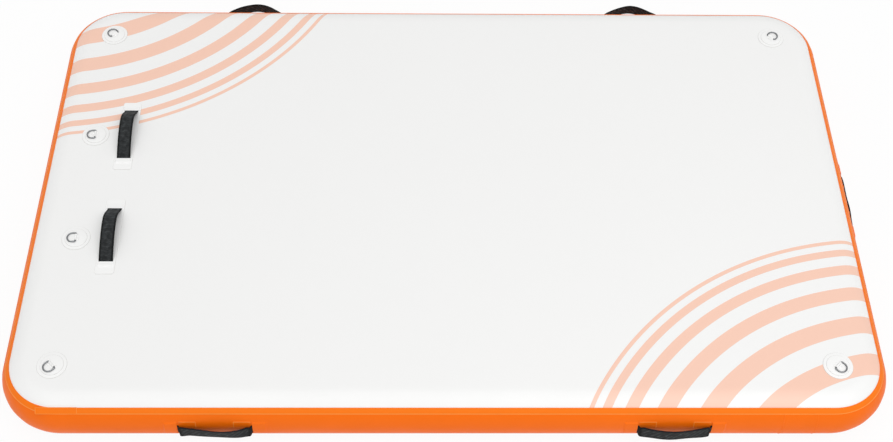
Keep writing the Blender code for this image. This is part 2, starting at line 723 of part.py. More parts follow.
def add_valve(home, tools, wall, liner):
    """Push valve with a turn-off cap; the local Z axis points out of the far wall."""
    axis = empty(
        "valve_axis", home, (0, WIDTH / 2 - SIDE_RADIUS, SIDE_RADIUS - VALVE_DROP),
        (-FULL_TURN / 4, 0, 0))
    bore = VALVE_TUBE_RADIUS + CLEARANCE
    seat = SIDE_RADIUS + VALVE_BOSS_PROUD

    def keep(obj, finish):
        obj.parent = axis
        paint(obj, finish)
        return obj

    def tool(obj, rotation=(0, 0, 0), place=(0, 0, 0)):
        obj.parent = axis
        obj.location = place
        obj.rotation_euler = rotation
        as_cutter(obj)
        return obj

    hole = tool(cylinder("valve_hole", tools, bore, 0, seat + OVERRUN, VALVE_SEGMENTS))
    join(wall, hole, "DIFFERENCE")
    join(liner, hole, "DIFFERENCE")

    lying = (0, FULL_TURN / 4, 0)
    reach = VALVE_BOSS_FOOT_RADIUS + OVERRUN
    boss = keep(cylinder(
        "valve_boss", home, VALVE_BOSS_RADIUS, seat - VALVE_BOSS_DEPTH, seat, VALVE_SEGMENTS,
        VALVE_BOSS_FOOT_RADIUS), ORANGE_PVC)
    outside = tool(cylinder(
        "wall_outside", tools, SIDE_RADIUS + CLEARANCE, -reach, reach, 2 * VALVE_SEGMENTS),
        lying, (0, -VALVE_DROP, 0))
    join(boss, outside, "DIFFERENCE")
    join(boss, hole, "DIFFERENCE")

    gasket_low = seat + CLEARANCE
    flange_low = gasket_low + GASKET + CLEARANCE
    flange_top = flange_low + VALVE_FLANGE
    gasket_radius = VALVE_FLANGE_RADIUS - GASKET_INSET
    keep(turned(
        "valve_gasket", home, ring_profile(bore, gasket_radius, gasket_low, gasket_low + GASKET),
        VALVE_SEGMENTS), RUBBER)

    collar_top = flange_top + VALVE_COLLAR_HEIGHT
    tube_inner = VALVE_TUBE_RADIUS - VALVE_TUBE_WALL
    tube_low = flange_low - VALVE_TUBE_DEPTH
    lip_inner = tube_inner - VALVE_LIP
    body = keep(turned("valve_body", home, [
        (tube_inner, collar_top),
        (VALVE_COLLAR_RADIUS, collar_top),
        (VALVE_COLLAR_RADIUS, flange_top),
        (VALVE_FLANGE_RADIUS, flange_top),
        (VALVE_FLANGE_RADIUS, flange_low),
        (VALVE_TUBE_RADIUS, flange_low),
        (VALVE_TUBE_RADIUS, tube_low),
        (lip_inner, tube_low),
        (lip_inner, tube_low + VALVE_LIP_HEIGHT),
        (tube_inner, tube_low + VALVE_LIP_HEIGHT),
    ], VALVE_SEGMENTS), GREY_PLASTIC)
    hub_top = flange_low - HUB_DEPTH + HUB_HEIGHT + VALVE_LIP_HEIGHT
    hub_low = hub_top - HUB_HEIGHT
    hub = tool(cylinder("valve_hub", tools, HUB_RADIUS, hub_low, hub_top, SMALL_SEGMENTS))
    spoke_reach = (tube_inner + VALVE_TUBE_RADIUS) / 2
    for index in range(SPOKES):
        spoke = tool(block(
            f"valve_spoke_{index + 1}", tools, (spoke_reach, SPOKE_WIDTH, HUB_HEIGHT),
            (spoke_reach / 2, 0, (hub_low + hub_top) / 2)),
            (0, 0, FULL_TURN * index / SPOKES))
        join(body, spoke, "UNION")
    join(body, hub, "UNION")
    guide = tool(cylinder(
        "valve_guide", tools, STEM_RADIUS + STEM_CLEARANCE, hub_low - OVERRUN, hub_top + OVERRUN,
        SMALL_SEGMENTS))
    join(body, guide, "DIFFERENCE")

    add_clamp(home, tools, keep, tool, bore)
    add_plunger(home, keep, tube_low, hub_top, collar_top)
    add_cap(home, tools, keep, tool, flange_top, collar_top)


def add_clamp(home, tools, keep, tool, bore):
    """Curved backing washer and the nut that pulls the valve against the wall from inside."""
    half_step = math.radians(UNDERSIDE_DEG / 2 - LINER_TOP_DEG) / LINER_STEPS
    liner_inside = SIDE_RADIUS - WALL - LINER_CLEARANCE - LINER
    inside_radius = liner_inside * math.cos(half_step) - CLEARANCE
    backing_foot = BACKING_RADIUS + VALVE_DROP
    backing_low = math.sqrt(inside_radius ** 2 - backing_foot ** 2) - BACKING_EDGE
    backing = keep(cylinder(
        "valve_backing_washer", home, BACKING_RADIUS, backing_low, SIDE_RADIUS, VALVE_SEGMENTS),
        GREY_PLASTIC)
    reach = BACKING_RADIUS + OVERRUN
    inside = tool(cylinder(
        "wall_inside", tools, inside_radius, -reach, reach, 2 * VALVE_SEGMENTS),
        (0, FULL_TURN / 4, 0), (0, -VALVE_DROP, 0))
    join(backing, inside, "INTERSECT")
    through = tool(cylinder(
        "backing_hole", tools, bore, backing_low - OVERRUN, SIDE_RADIUS + OVERRUN, VALVE_SEGMENTS))
    join(backing, through, "DIFFERENCE")

    nut_top = backing_low - CLEARANCE
    nut = keep(cylinder(
        "valve_nut", home, NUT_RADIUS, nut_top - NUT_HEIGHT, nut_top, NUT_SIDES), GREY_PLASTIC)
    bored = tool(cylinder(
        "nut_hole", tools, bore, nut_top - NUT_HEIGHT - OVERRUN, nut_top + OVERRUN, VALVE_SEGMENTS))
    join(nut, bored, "DIFFERENCE")


def add_plunger(home, keep, tube_low, hub_top, collar_top):
    """Stem with its button and sealing disc, the rubber seal, and the return spring."""
    seal_top = tube_low - CLEARANCE
    seal_low = seal_top - SEAL_HEIGHT
    disc_top = seal_low - CLEARANCE
    disc_low = disc_top - DISC_HEIGHT
    button_top = collar_top - VALVE_COLLAR_HEIGHT - BUTTON_SINK
    button_low = button_top - BUTTON_HEIGHT
    keep(turned("valve_plunger", home, [
        (0, button_top), (BUTTON_RADIUS, button_top), (BUTTON_RADIUS, button_low),
        (STEM_RADIUS, button_low), (STEM_RADIUS, disc_top), (DISC_RADIUS, disc_top),
        (DISC_RADIUS, disc_low), (0, disc_low),
    ], SMALL_SEGMENTS), BLACK_PLASTIC)
    keep(turned("valve_seal", home, ring_profile(
        STEM_RADIUS + CLEARANCE, DISC_RADIUS - SEAL_INSET, seal_low, seal_top),
        SMALL_SEGMENTS), RUBBER)

    low = hub_top + CLEARANCE + SPRING_WIRE_RADIUS
    high = button_low - CLEARANCE - SPRING_WIRE_RADIUS
    count = SPRING_TURNS * SPRING_POINTS_PER_TURN
    coil = []
    for step in range(count + 1):
        turn = FULL_TURN * step / SPRING_POINTS_PER_TURN
        height = low + (high - low) * step / count
        coil.append((SPRING_RADIUS * math.cos(turn), SPRING_RADIUS * math.sin(turn), height))
    keep(wire("valve_spring", home, coil, SPRING_WIRE_RADIUS, False, SPRING_WIRE_STEPS), STEEL)


def add_cap(home, tools, keep, tool, flange_top, collar_top):
    """Cap over the collar with a grip bar across it, and the seal washer that it presses."""
    inner = VALVE_COLLAR_RADIUS + CLEARANCE
    outer = inner + CAP_WALL
    seal_low = collar_top + CLEARANCE
    seal_top = seal_low + CAP_SEAL_HEIGHT
    roof = seal_top + CLEARANCE
    top = roof + CAP_TOP
    keep(turned("valve_cap_seal", home, ring_profile(
        VALVE_COLLAR_RADIUS - CAP_SEAL_WIDTH, VALVE_COLLAR_RADIUS, seal_low, seal_top),
        VALVE_SEGMENTS), RUBBER)
    cap = keep(turned("valve_cap", home, [
        (0, top), (outer, top), (outer, flange_top + CLEARANCE), (inner, flange_top + CLEARANCE),
        (inner, roof), (0, roof),
    ], VALVE_SEGMENTS), GREY_PLASTIC)
    grip = tool(block(
        "cap_grip", tools, (CAP_GRIP_LENGTH, CAP_GRIP_WIDTH, CAP_GRIP_HEIGHT + CAP_TOP / 2),
        (0, 0, top + (CAP_GRIP_HEIGHT - CAP_TOP / 2) / 2)))
    join(cap, grip, "UNION")


def shade(home):
    """Shade the round pieces smooth and keep their real edges sharp."""
    bpy.context.view_layer.update()
    for obj in home.objects:
        if obj.type == "MESH":
            obj.data.shade_smooth()
            obj.data.set_sharp_from_angle(angle=FULL_TURN / 12)


def main():
    clear_scene()
    home = new_collection("inflatable_dock_platform")
    tools = new_collection("cutters")
    wall, liner = add_chamber(home, tools)
    add_rings(home)
    add_deck_handles(home)
    add_side_handles(home)
    add_valve(home, tools, wall, liner)
    shade(home)


main()
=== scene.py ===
"""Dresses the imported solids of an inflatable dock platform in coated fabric, webbing and steel."""

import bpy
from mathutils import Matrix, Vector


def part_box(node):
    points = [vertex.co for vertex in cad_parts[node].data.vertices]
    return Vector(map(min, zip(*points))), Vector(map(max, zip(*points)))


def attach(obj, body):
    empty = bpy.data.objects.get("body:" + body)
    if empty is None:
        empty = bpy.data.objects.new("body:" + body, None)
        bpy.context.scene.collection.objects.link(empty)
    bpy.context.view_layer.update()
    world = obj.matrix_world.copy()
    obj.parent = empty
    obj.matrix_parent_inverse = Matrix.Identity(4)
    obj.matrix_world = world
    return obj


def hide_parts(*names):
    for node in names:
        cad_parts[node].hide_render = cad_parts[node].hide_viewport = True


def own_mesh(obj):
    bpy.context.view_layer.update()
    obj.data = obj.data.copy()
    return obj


bl_info = {
    "name": "Inflatable Dock Platform",
    "version": (1, 0, 0),
    "blender": (4, 5, 0),
    "location": "3D View > Sidebar > Dock Platform",
    "description": "Builds the visible pieces of a drop-stitch platform over its packed solids",
    "category": "Object",
}

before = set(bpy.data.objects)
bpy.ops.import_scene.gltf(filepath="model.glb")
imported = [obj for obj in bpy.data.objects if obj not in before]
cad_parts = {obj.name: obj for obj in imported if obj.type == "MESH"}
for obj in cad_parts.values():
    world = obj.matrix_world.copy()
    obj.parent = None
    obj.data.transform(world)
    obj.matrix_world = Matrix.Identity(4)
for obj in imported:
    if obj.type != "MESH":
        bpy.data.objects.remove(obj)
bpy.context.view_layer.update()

import math

import bmesh
import bpy
from mathutils import Matrix, Vector

FULL_TURN = 2 * math.pi
HALF_TURN = FULL_TURN / 2
QUARTER_TURN = FULL_TURN / 4
WAVE_SCALE = 20
MERGE_DISTANCE = 0.000002
EDGE_ROUNDING = 0.0003
BEVEL_ANGLE = math.radians(40)
CORNER_REACH_SHARE = 0.45
LIP_SHARE = 0.3

# Air chamber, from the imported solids
LENGTH = 2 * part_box("side_wall")[1].x
WIDTH = -2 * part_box("side_wall")[0].y
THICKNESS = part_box("deck_skin")[1].z
SIDE_RADIUS = THICKNESS / 2
SIDE = WIDTH / 2 - SIDE_RADIUS
CORNER_RADIUS = 0.175
SKIN = 0.0012
TAPE = 0.0010
CLEARANCE = 0.0003
SKIN_EDGE = math.radians(43)
FLAT_INSET = 0.012
GATHER_COUNT = 18
CORNER_STEPS = 24
RUN_STEPS = 40
SKIN_STEPS = 10
WALL_STEPS = 28
WALL_LIP = 0.0002

# Printed stripes: two plan centres and the inner and outer radius of each band
STRIPE_CENTRE = Vector((1.228, -1.134, 0))
STRIPE_BANDS = (
    (0.513, 0.5765), (0.6395, 0.693), (0.7455, 0.788), (0.8305, 0.862), (0.893, 0.9155),
    (0.9355, 0.947),
)

# Tapes, with two places along the near wall
TAPE_TOP = math.radians(38)
TAPE_LOW = math.radians(49)
TAPE_STEPS = 5
TAPE_LIP = 0.00035
SEAM_BEAD = 0.0012
THIN_BEAD = 0.0007
BEAD_STEPS = 2
JOINT_TAPE_PLACE = (0.895, 0.985)
JOINT_TAPE_GAP = 0.0012
TAPE_OVERLAP_PLACE = (-1.080, -0.972)
TAPE_OVERLAP_RISE = 0.004
TAPE_OVERLAP_DROP = 0.012
TAPE_OVERLAP_SHARE = 0.7
TAPE_COLUMNS, TAPE_ROWS = 6, 24

# Tie-down rings
RING_PLACES = {
    "far_left": (-1.052, 0.604, 135), "far_right": (1.052, 0.604, 45),
    "near_left": (-1.052, -0.604, 225), "near_right": (1.052, -0.604, 315),
    "end_far": (-1.052, 0.190, 180), "end_near": (-1.052, -0.190, 180),
}
RING_PATCH_RADII = (0.040, 0.031)
RING_LAYER = 0.0010
RING_HALF_WIDTH = 0.0150
RING_DEPTH = 0.0245
RING_CORNER = 0.0035
RING_WIRE_STEPS = 6
BOW_STEPS, RING_CORNER_STEPS = 32, 8
TAB_WIDTH = 0.0210
TAB_LENGTH = 0.0170
TAB_THICKNESS = 0.0012
TAB_OUTER_STEPS, TAB_INNER_STEPS = 16, 12

# Webbing and its patches
WEBBING_WIDTH = 0.040
WEBBING = 0.0022
STRAP_EDGE, STRAP_EDGE_STEPS = 0.0008, 3
WEAR_SIZE = 0.014
PATCH = 0.0010
POCKET_MARGIN = 0.0016
PATCH_MOUTH = 0.0030
POCKET = WEBBING_WIDTH / 2 + POCKET_MARGIN

# Deck handles: place across the end, then the strap's line as shares of span and rise
DECK_HANDLE_X = -0.956
DECK_HANDLE_PLACES = {"far": 0.188, "near": -0.183}
DECK_SPAN = 0.187
DECK_RISE = 0.034
DECK_TAIL = 0.016
DECK_NEAR_TUCK = 0.007
DECK_BASE_HALF = (0.027, 0.1295)
DECK_BASE_CORNER, DECK_BASE_CORNER_STEPS = 0.004, 6
DECK_STEP_SHADE_RADIUS = 0.0006
DECK_PATCH_INSET = 0.0015
DECK_PATCH_SLOPE = 0.0022
DECK_STRAP_GRID = (160, 10)
DECK_PATCH_GRID = (30, 48)
ARCH = (
    (0.00, 0.00), (0.08, 0.22), (0.20, 0.50), (0.36, 0.77), (0.52, 0.94),
    (0.64, 1.00), (0.74, 0.95), (0.83, 0.72), (0.92, 0.34), (1.00, 0.00),
)

# Side handles: place, turn, swing, then height over the wall's middle, leg, bow, lean, blend
SIDE_HANDLES = {
    "near_left": (-0.6135, -SIDE, 180, -0.0028, (0.0075, 0.0065, 0.0090, -0.045, 0.04)),
    "near_right": (0.606, -SIDE, 180, 0.0006, (0.0075, 0.0065, 0.0125, 0.02, 0.04)),
    "far_left": (-0.622, SIDE, 0, 0.0, (0.0075, 0.0, 0.0486, 0.14, 0.30)),
    "far_right": (0.619, SIDE, 0, 0.0, (0.0075, 0.0, 0.0486, 0.14, 0.30)),
    "end": (LENGTH / 2 - SIDE_RADIUS, 0.0, 270, 0.0, (0.0, 0.0, 0.0038, 0.19, 1.0)),
}
SIDE_SPAN = 0.192
SIDE_TAIL = 0.035
SIDE_SLOPE = 0.0040
SIDE_PATCH_MARGIN = 0.011
SIDE_PATCH_END = 0.010
SIDE_STRAP_GRID = (260, 10)
SIDE_PATCH_GRID = (36, 60)
ROOT_STEEPNESS = 60
BOW_POWER = 1.8
ROOT_LEAN = 0.19

# Lengths of run over which a carry strap comes free, tucks in, waves and takes painted shade at its
# roots
FREE_RUN, TUCK_RUN, WAVE_RUN = 0.030, 0.012, 0.017
ROOT_SHADE_START, ROOT_SHADE_RUN = 0.011, 0.006

# Base flaps under the carry straps' ends
FLAP_LENGTH = 0.046
FLAP_HALF_WIDTH = 0.0255
FLAP_GRID = (8, 16)
FLAP_SEARCH_STEP = 0.0005
FLAP_BEAD_SHARES = (0, 0.25, 0.5, 0.75, 0.99)
FLAP_BEAD_STEPS = 12

# Valve, heights along its axis from the centre of the far wall's arc
VALVE_DROP = 0.0100
VALVE_SEAT = 0.0845
TUBE_RADIUS = 0.0200
TUBE_BORE = 0.0180
TUBE_LOW = 0.0583
VALVE_BORE = TUBE_RADIUS + CLEARANCE
VALVE_HOLE_LOW, VALVE_HOLE_TOP = 0.03, 0.10
BOSS_LIP_DROP = 0.003
FLANGE_LOW, FLANGE_TOP = 0.0863, 0.0887
COLLAR_TOP = 0.0937
HUB_LOW, HUB_TOP = 0.0683, 0.0713
HUB_BORE, HUB_RADIUS = 0.0034, 0.0058
GUIDE_MARGIN = 0.01
SPOKE_COUNT = 3
SPOKE_SIZE = (0.0150, 0.0032, HUB_TOP - HUB_LOW)
SPOKE_CENTRE = (0.0115, 0, (HUB_LOW + HUB_TOP) / 2)
BUTTON_LOW, BUTTON_TOP = 0.0847, 0.0877
DISC_LOW, DISC_TOP = 0.0531, 0.0553
SPRING_RADIUS, SPRING_WIRE_RADIUS = 0.0046, 0.0005
SPRING_TURNS, SPRING_TURN_STEPS = 5, 24
SPRING_EVENNESS = 0.7
SPRING_GAP = 0.0008
CAP_LOW, CAP_TOP, CAP_RADIUS = 0.0956, 0.0980, 0.0262
CAP_GRIP_SIZE = (0.0340, 0.0060, 0.0062)
CAP_GRIP_CENTRE = (0, 0, 0.0999)
KNURL_RADIUS, KNURL_TOP = 0.0255, 0.0971
WIDE_SIDES, SLIM_SIDES, HUB_SIDES = 96, 64, 48
KNURL_SIDES = 8

# Corners of the valve's turned parts, as radius and height
BOSS_PROFILE = (
    (VALVE_BORE, VALVE_SEAT), (0.0322, VALVE_SEAT), (0.0328, VALVE_SEAT - 0.0004),
    (0.0331, VALVE_SEAT - 0.0010), (0.0348, 0.0), (VALVE_BORE, 0.0),
)
HOUSING_PROFILE = (
    (TUBE_BORE, COLLAR_TOP), (0.0235, COLLAR_TOP), (0.0235, FLANGE_TOP), (0.029, FLANGE_TOP),
    (0.029, FLANGE_LOW), (TUBE_RADIUS, FLANGE_LOW), (TUBE_RADIUS, TUBE_LOW), (0.014, TUBE_LOW),
    (0.014, TUBE_LOW + 0.002), (TUBE_BORE, TUBE_LOW + 0.002),
)
BUTTON_PROFILE = (
    (0, BUTTON_TOP), (0.0070, BUTTON_TOP), (0.0070, BUTTON_LOW), (0.0030, BUTTON_LOW),
    (0.0030, DISC_TOP), (0.0165, DISC_TOP), (0.0165, DISC_LOW), (0, DISC_LOW),
)
CAP_PROFILE = (
    (0, CAP_TOP), (CAP_RADIUS, CAP_TOP), (CAP_RADIUS, FLANGE_TOP + CLEARANCE),
    (0.0238, FLANGE_TOP + CLEARANCE), (0.0238, CAP_LOW), (0, CAP_LOW),
)

# Inner and outer radius, low and high end of the valve's rubber rings
GASKET_TUBE = (VALVE_BORE, 0.028, 0.0848, 0.0860)
DISC_SEAL_TUBE = (0.0033, 0.0160, 0.0556, 0.0580)
CAP_SEAL_TUBE = (0.0195, 0.0235, 0.0940, 0.0953)


# Colours and nodes

def linear(code):
    """Turn an sRGB hex colour into linear red, green, blue and alpha."""
    shares = [int(code[at:at + 2], 16) / 255 for at in (1, 3, 5)]
    values = [s / 12.92 if s <= 0.04045 else ((s + 0.055) / 1.055) ** 2.4 for s in shares]
    return (*values, 1.0)


def feed(tree, node, inputs):
    """Give each named input of a node a value, a socket's link or another node's result."""
    for name, value in inputs.items():
        if isinstance(value, bpy.types.Node):
            value = next(socket for socket in value.outputs if socket.enabled)
        if isinstance(value, bpy.types.NodeSocket):
            tree.links.new(value, node.inputs[name])
        else:
            node.inputs[name].default_value = value


def add(tree, kind, inputs=None, **settings):
    """Add a node with its settings, and feed its inputs."""
    made = tree.nodes.new(f"ShaderNode{kind}")
    for name, value in settings.items():
        setattr(made, name, value)
    feed(tree, made, inputs or {})
    return made


def new_material(name, inputs):
    """Start a material and feed its shader's own sockets; returns its tree and shader."""
    material = bpy.data.materials.new(name)
    material.use_nodes = True
    tree = material.node_tree
    shader = tree.nodes["Principled BSDF"]
    feed(tree, shader, inputs)
    return tree, shader


def bands(pitch):
    """Scale that gives a wave texture one band per pitch, in metres."""
    return FULL_TURN / WAVE_SCALE / pitch


def tinted(colour, share):
    """A colour made darker by a share of itself."""
    return (*[channel * (1 - share) for channel in colour[:3]], 1.0)


def coated_fabric(name, colour, roughness, grain_depth, mottle, gloss_level=0.5):
    """PVC calendered onto woven polyester.

    The smooth coat gives a soft plastic gloss, the cloth below prints through as a faint grain,
    and handling leaves clouds a little duller and darker than the rest.
    """
    look = bpy.context.scene.dock_chamber
    tree, shader = new_material(name, {"IOR": 1.53, "Specular IOR Level": gloss_level})
    place = add(tree, "TexCoord").outputs["Object"]
    cloud = add(tree, "TexNoise", {
        "Vector": place, "Scale": 1 / look.mottle_size, "Detail": 4.0, "Roughness": 0.55})
    tone = add(tree, "Mix", {0: cloud, 6: tinted(colour, mottle), 7: colour}, data_type="RGBA")
    gloss = add(tree, "MapRange", {
        "Value": cloud, "From Min": 0.3, "From Max": 0.7,
        "To Min": roughness + 0.05, "To Max": roughness - 0.05})
    # The cloth's threads lie 1.1 mm apart, drawn at the look's coarser pitch so that they show
    height = 0.0
    for direction in "XYZ":
        thread = add(tree, "TexWave", {
            "Vector": place, "Scale": bands(look.grain_pitch), "Distortion": 0.4, "Detail": 1.0},
            bands_direction=direction)
        height = add(tree, "Math", {0: height, 1: thread.outputs["Fac"]}, operation="ADD")
    grain = add(tree, "Bump", {"Strength": 0.5, "Distance": grain_depth, "Height": height})
    feed(tree, shader, {"Base Color": tone, "Roughness": gloss, "Normal": grain})
    return tree, shader, tone, place


def make_deck_fabric(look):
    """White coated fabric with pale arc stripes printed from two opposite corners."""
    tree, shader, tone, place = coated_fabric(
        "calendered_pvc_deck", look.deck_colour[:], 0.40, 0.00006, 0.012)
    plan = add(tree, "VectorMath", {0: place, 1: (1, 1, 0)}, operation="MULTIPLY")
    first, second = [
        add(tree, "VectorMath", {0: plan, 1: centre}, operation="DISTANCE")
        for centre in (STRIPE_CENTRE, -STRIPE_CENTRE)]
    nearest = add(tree, "Math", {0: first, 1: second}, operation="MINIMUM")
    ink = 0.0
    for inner, outer in STRIPE_BANDS:
        stripe = add(tree, "Math", {
            0: nearest, 1: (inner + outer) / 2, 2: (outer - inner) / 2}, operation="COMPARE")
        ink = add(tree, "Math", {0: ink, 1: stripe}, operation="ADD")
    printed = add(tree, "Mix", {0: ink, 6: tone, 7: look.stripe_colour[:]}, data_type="RGBA")
    feed(tree, shader, {"Base Color": printed})


def make_webbing(look, name, direction, beat_pitch):
    """Woven polyester webbing, ribbed across or on the slant.

    Thick weft ribs cross the strap and fine warp threads run along it. The yarns shade one
    another, so it is dull, with a few pale worn ribs. Shade is also painted in as a darker tone
    along both edges and near the roots, where the strap runs under its patches.
    """
    colour = look.webbing_colour[:]
    tree, shader = new_material(name, {
        "Roughness": 0.82, "IOR": 1.5, "Specular IOR Level": 0.15, "Sheen Weight": 0.12,
        "Sheen Roughness": 0.45, "Sheen Tint": linear("#8A8E90")})
    woven = add(tree, "Attribute", attribute_name="weave_place").outputs["Vector"]
    place = add(tree, "VectorMath", {0: woven, 1: (1, 1, 0)}, operation="MULTIPLY")
    rib, thread = [
        add(tree, "TexWave", {
            "Vector": place, "Scale": bands(pitch), "Distortion": wander, "Detail": 1.0},
            bands_direction=way).outputs["Fac"]
        for way, pitch, wander in (("X", look.rib_pitch, 0.3), ("Y", look.thread_pitch, 0.6))]
    # The tone goes by several ribs, because ribs 2.5 mm apart are too fine to show from afar
    beat = add(tree, "TexWave", {
        "Vector": place, "Scale": bands(beat_pitch), "Distortion": 2.5, "Detail": 3.0,
        "Detail Scale": 3.0}, bands_direction=direction)
    wear = add(tree, "TexNoise", {"Vector": place, "Scale": 1 / WEAR_SIZE, "Detail": 2.0})
    rubbed = add(tree, "MapRange", {"Value": wear, "From Min": 0.38, "From Max": 0.66})
    worn = add(tree, "Math", {0: beat.outputs["Fac"], 1: rubbed}, operation="MULTIPLY")
    tone = add(tree, "Mix", {
        0: worn, 6: tinted(colour, 0.25), 7: tinted(colour, -1.9)}, data_type="RGBA")
    # Painted shade: darker along both edges of the strap, and near its roots where the weave's third
    # value rises
    spot = add(tree, "SeparateXYZ", {"Vector": woven})
    side = add(tree, "Math", {0: spot.outputs["Y"]}, operation="ABSOLUTE")
    painted_edge_shade = add(tree, "MapRange", {
        "Value": side, "From Min": WEBBING_WIDTH * 0.32, "From Max": WEBBING_WIDTH * 0.43},
        interpolation_type="SMOOTHSTEP")
    painted_shade = add(tree, "Math", {0: painted_edge_shade, 1: spot.outputs["Z"]}, operation="MAXIMUM")
    tone_with_painted_shade = add(tree, "Mix", {0: painted_shade, 6: tone, 7: tinted(colour, 0.75)}, data_type="RGBA")
    height = add(tree, "Math", {0: thread, 1: 0.4, 2: rib}, operation="MULTIPLY_ADD")
    weave = add(tree, "Bump", {"Strength": 0.9, "Distance": 0.0004, "Height": height})
    feed(tree, shader, {"Base Color": tone_with_painted_shade, "Normal": weave})


def make_steel(name, colour, roughness):
    """Stainless wire, drawn through a die and tumbled: a cool grey metal with fine marks."""
    tree, shader = new_material(name, {"Base Color": colour, "Metallic": 1.0})
    place = add(tree, "TexCoord").outputs["Object"]
    mark = add(tree, "TexNoise", {"Vector": place, "Scale": 1 / 0.0015, "Detail": 3.0})
    gloss = add(tree, "MapRange", {
        "Value": mark, "To Min": roughness - 0.06, "To Max": roughness + 0.10})
    worn = add(tree, "Bump", {"Strength": 0.3, "Distance": 0.00003, "Height": mark})
    feed(tree, shader, {"Roughness": gloss, "Normal": worn})


def make_moulded(name, colour, roughness, ior, grit, depth):
    """Moulded plastic or rubber: one dyed body colour under the fine spark grain of the mould."""
    tree, shader = new_material(name, {"IOR": ior})
    place = add(tree, "TexCoord").outputs["Object"]
    spark, flow = [
        add(tree, "TexNoise", {"Vector": place, "Scale": 1 / size, "Detail": 2.0})
        for size in (grit, 12 * grit)]
    tone = add(tree, "Mix", {0: flow, 6: tinted(colour, 0.15), 7: colour}, data_type="RGBA")
    gloss = add(tree, "MapRange", {
        "Value": flow, "To Min": roughness - 0.05, "To Max": roughness + 0.05})
    grain = add(tree, "Bump", {"Strength": 0.5, "Distance": depth, "Height": spark})
    feed(tree, shader, {"Base Color": tone, "Roughness": gloss, "Normal": grain})


def make_base_cloth(colour):
    """Knitted polyester base cloth with its tie threads: matt, hairy and a little yellow."""
    tree, shader = new_material("knitted_polyester_core", {
        "Roughness": 0.92, "IOR": 1.5, "Sheen Weight": 0.3, "Sheen Roughness": 0.6})
    place = add(tree, "TexCoord").outputs["Object"]
    # Loops 2 mm apart, as they are in the cloth
    loops = add(tree, "TexVoronoi", {"Vector": place, "Scale": 1 / 0.002})
    tone = add(tree, "Mix", {0: loops, 6: colour, 7: tinted(colour, 0.2)}, data_type="RGBA")
    knit = add(tree, "Bump", {"Strength": 0.8, "Distance": 0.0004, "Height": loops})
    feed(tree, shader, {"Base Color": tone, "Normal": knit})


# Meshes and pieces

def new_object(name, bm):
    """Turn a bmesh into an object of the scene."""
    bmesh.ops.recalc_face_normals(bm, faces=bm.faces)
    mesh = bpy.data.meshes.new(name)
    bm.to_mesh(mesh)
    bm.free()
    mesh.shade_smooth()
    obj = bpy.data.objects.new(name, mesh)
    bpy.context.collection.objects.link(obj)
    return obj


def piece(name, bm, material, nodes=(), body="platform", place=None):
    """Turn a bmesh into a piece that rides on a body and stands for its solids."""
    if not bm.faces:
        raise RuntimeError(f"{name} has no faces")
    if place is not None:
        bmesh.ops.transform(bm, matrix=place, verts=bm.verts)
    obj = new_object(name, bm)
    obj.data.materials.append(bpy.data.materials[material])
    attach(obj, body)
    if nodes:
        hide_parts(*nodes)
    return obj


def rounded(obj, width=EDGE_ROUNDING, segments=2):
    """Round a piece's edges with a bevel."""
    bevel = obj.modifiers.new("rounded edges", "BEVEL")
    bevel.width = width
    bevel.segments = segments
    bevel.limit_method = "ANGLE"
    bevel.angle_limit = BEVEL_ANGLE
    bevel.harden_normals = True


def sheet_piece(name, bm, material, slot, nodes, thickness, offset, *rounding):
    """Piece made of a sheet of points, with a thickness and rounded edges."""
    obj = piece(name, bm, material, nodes)
    solid = obj.modifiers.new("thickness", "SOLIDIFY")
    solid.thickness = thickness
    solid.offset = offset
    solid.use_even_offset = True
    rounded(obj, *rounding)


def strap_piece(name, bm, material, node):
    """Webbing strap."""
    sheet_piece(name, bm, material, "webbing", [node], WEBBING, 0.0, STRAP_EDGE, STRAP_EDGE_STEPS)


def end_patch(name, node, size, material, slot, side, reach, half_width, tail, slope, seat):
    """Patch over a strap's end; seat(run, width, height) gives a point over what carries it."""
    def point(along, across):
        run = PATCH_MOUTH + (reach - PATCH_MOUTH) * along
        width = (2 * across - 1) * half_width
        sides = smoothed(1 - (abs(width) - POCKET) / slope)
        lift = sides * smoothed(1 - (run - tail - POCKET_MARGIN) / slope)
        return seat(run, width, CLEARANCE + (WEBBING + CLEARANCE) * lift), (run, width)

    sheet_piece(name, grid(*size, point), material, slot, [node], PATCH, side)


def combined(obj, bm, operation, turn=0.0):
    """Cut or join a piece with a second closed form, given in the valve's own frame."""
    place = valve_axis() @ Matrix.Rotation(turn, 4, "Z")
    bmesh.ops.transform(bm, matrix=place, verts=bm.verts)
    tool = new_object("tool", bm)
    step = obj.modifiers.new(operation.lower(), "BOOLEAN")
    step.operation = operation
    step.solver = "EXACT"
    step.object = tool
    graph = bpy.context.evaluated_depsgraph_get()
    obj.data = bpy.data.meshes.new_from_object(obj.evaluated_get(graph))
    obj.modifiers.clear()
    bpy.data.objects.remove(tool, do_unlink=True)


def soften(profile, radius, steps=3):
    """Round the corners of a closed profile of (x, y) points, apart from those on the axis."""
    made = []
    count = len(profile)
    for index, corner in enumerate(profile):
        here = Vector(corner)
        before, after = Vector(profile[index - 1]), Vector(profile[(index + 1) % count])
        if here.x <= 0 or radius == 0:
            made.append(here)
            continue
        reach = min(radius, *[
            (other - here).length * CORNER_REACH_SHARE for other in (before, after)])
        start = here + (before - here).normalized() * reach
        end = here + (after - here).normalized() * reach
        for step in range(steps + 1):
            share = step / steps
            made.append(start.lerp(here, share).lerp(here.lerp(end, share), share))
    return made


def tube(inner, outer, low, high):
    """Closed profile of a plain ring."""
    return [(inner, low), (outer, low), (outer, high), (inner, high)]


def block(size, centre, rounding, segments):
    """Cuboid with rounded edges, as a bmesh."""
    bm = bmesh.new()
    bmesh.ops.create_cube(bm, size=1.0)
    bmesh.ops.scale(bm, verts=bm.verts, vec=size)
    bmesh.ops.bevel(bm, geom=bm.edges[:], offset=rounding, segments=segments, affect="EDGES")
    bmesh.ops.translate(bm, verts=bm.verts, vec=centre)
    return bm


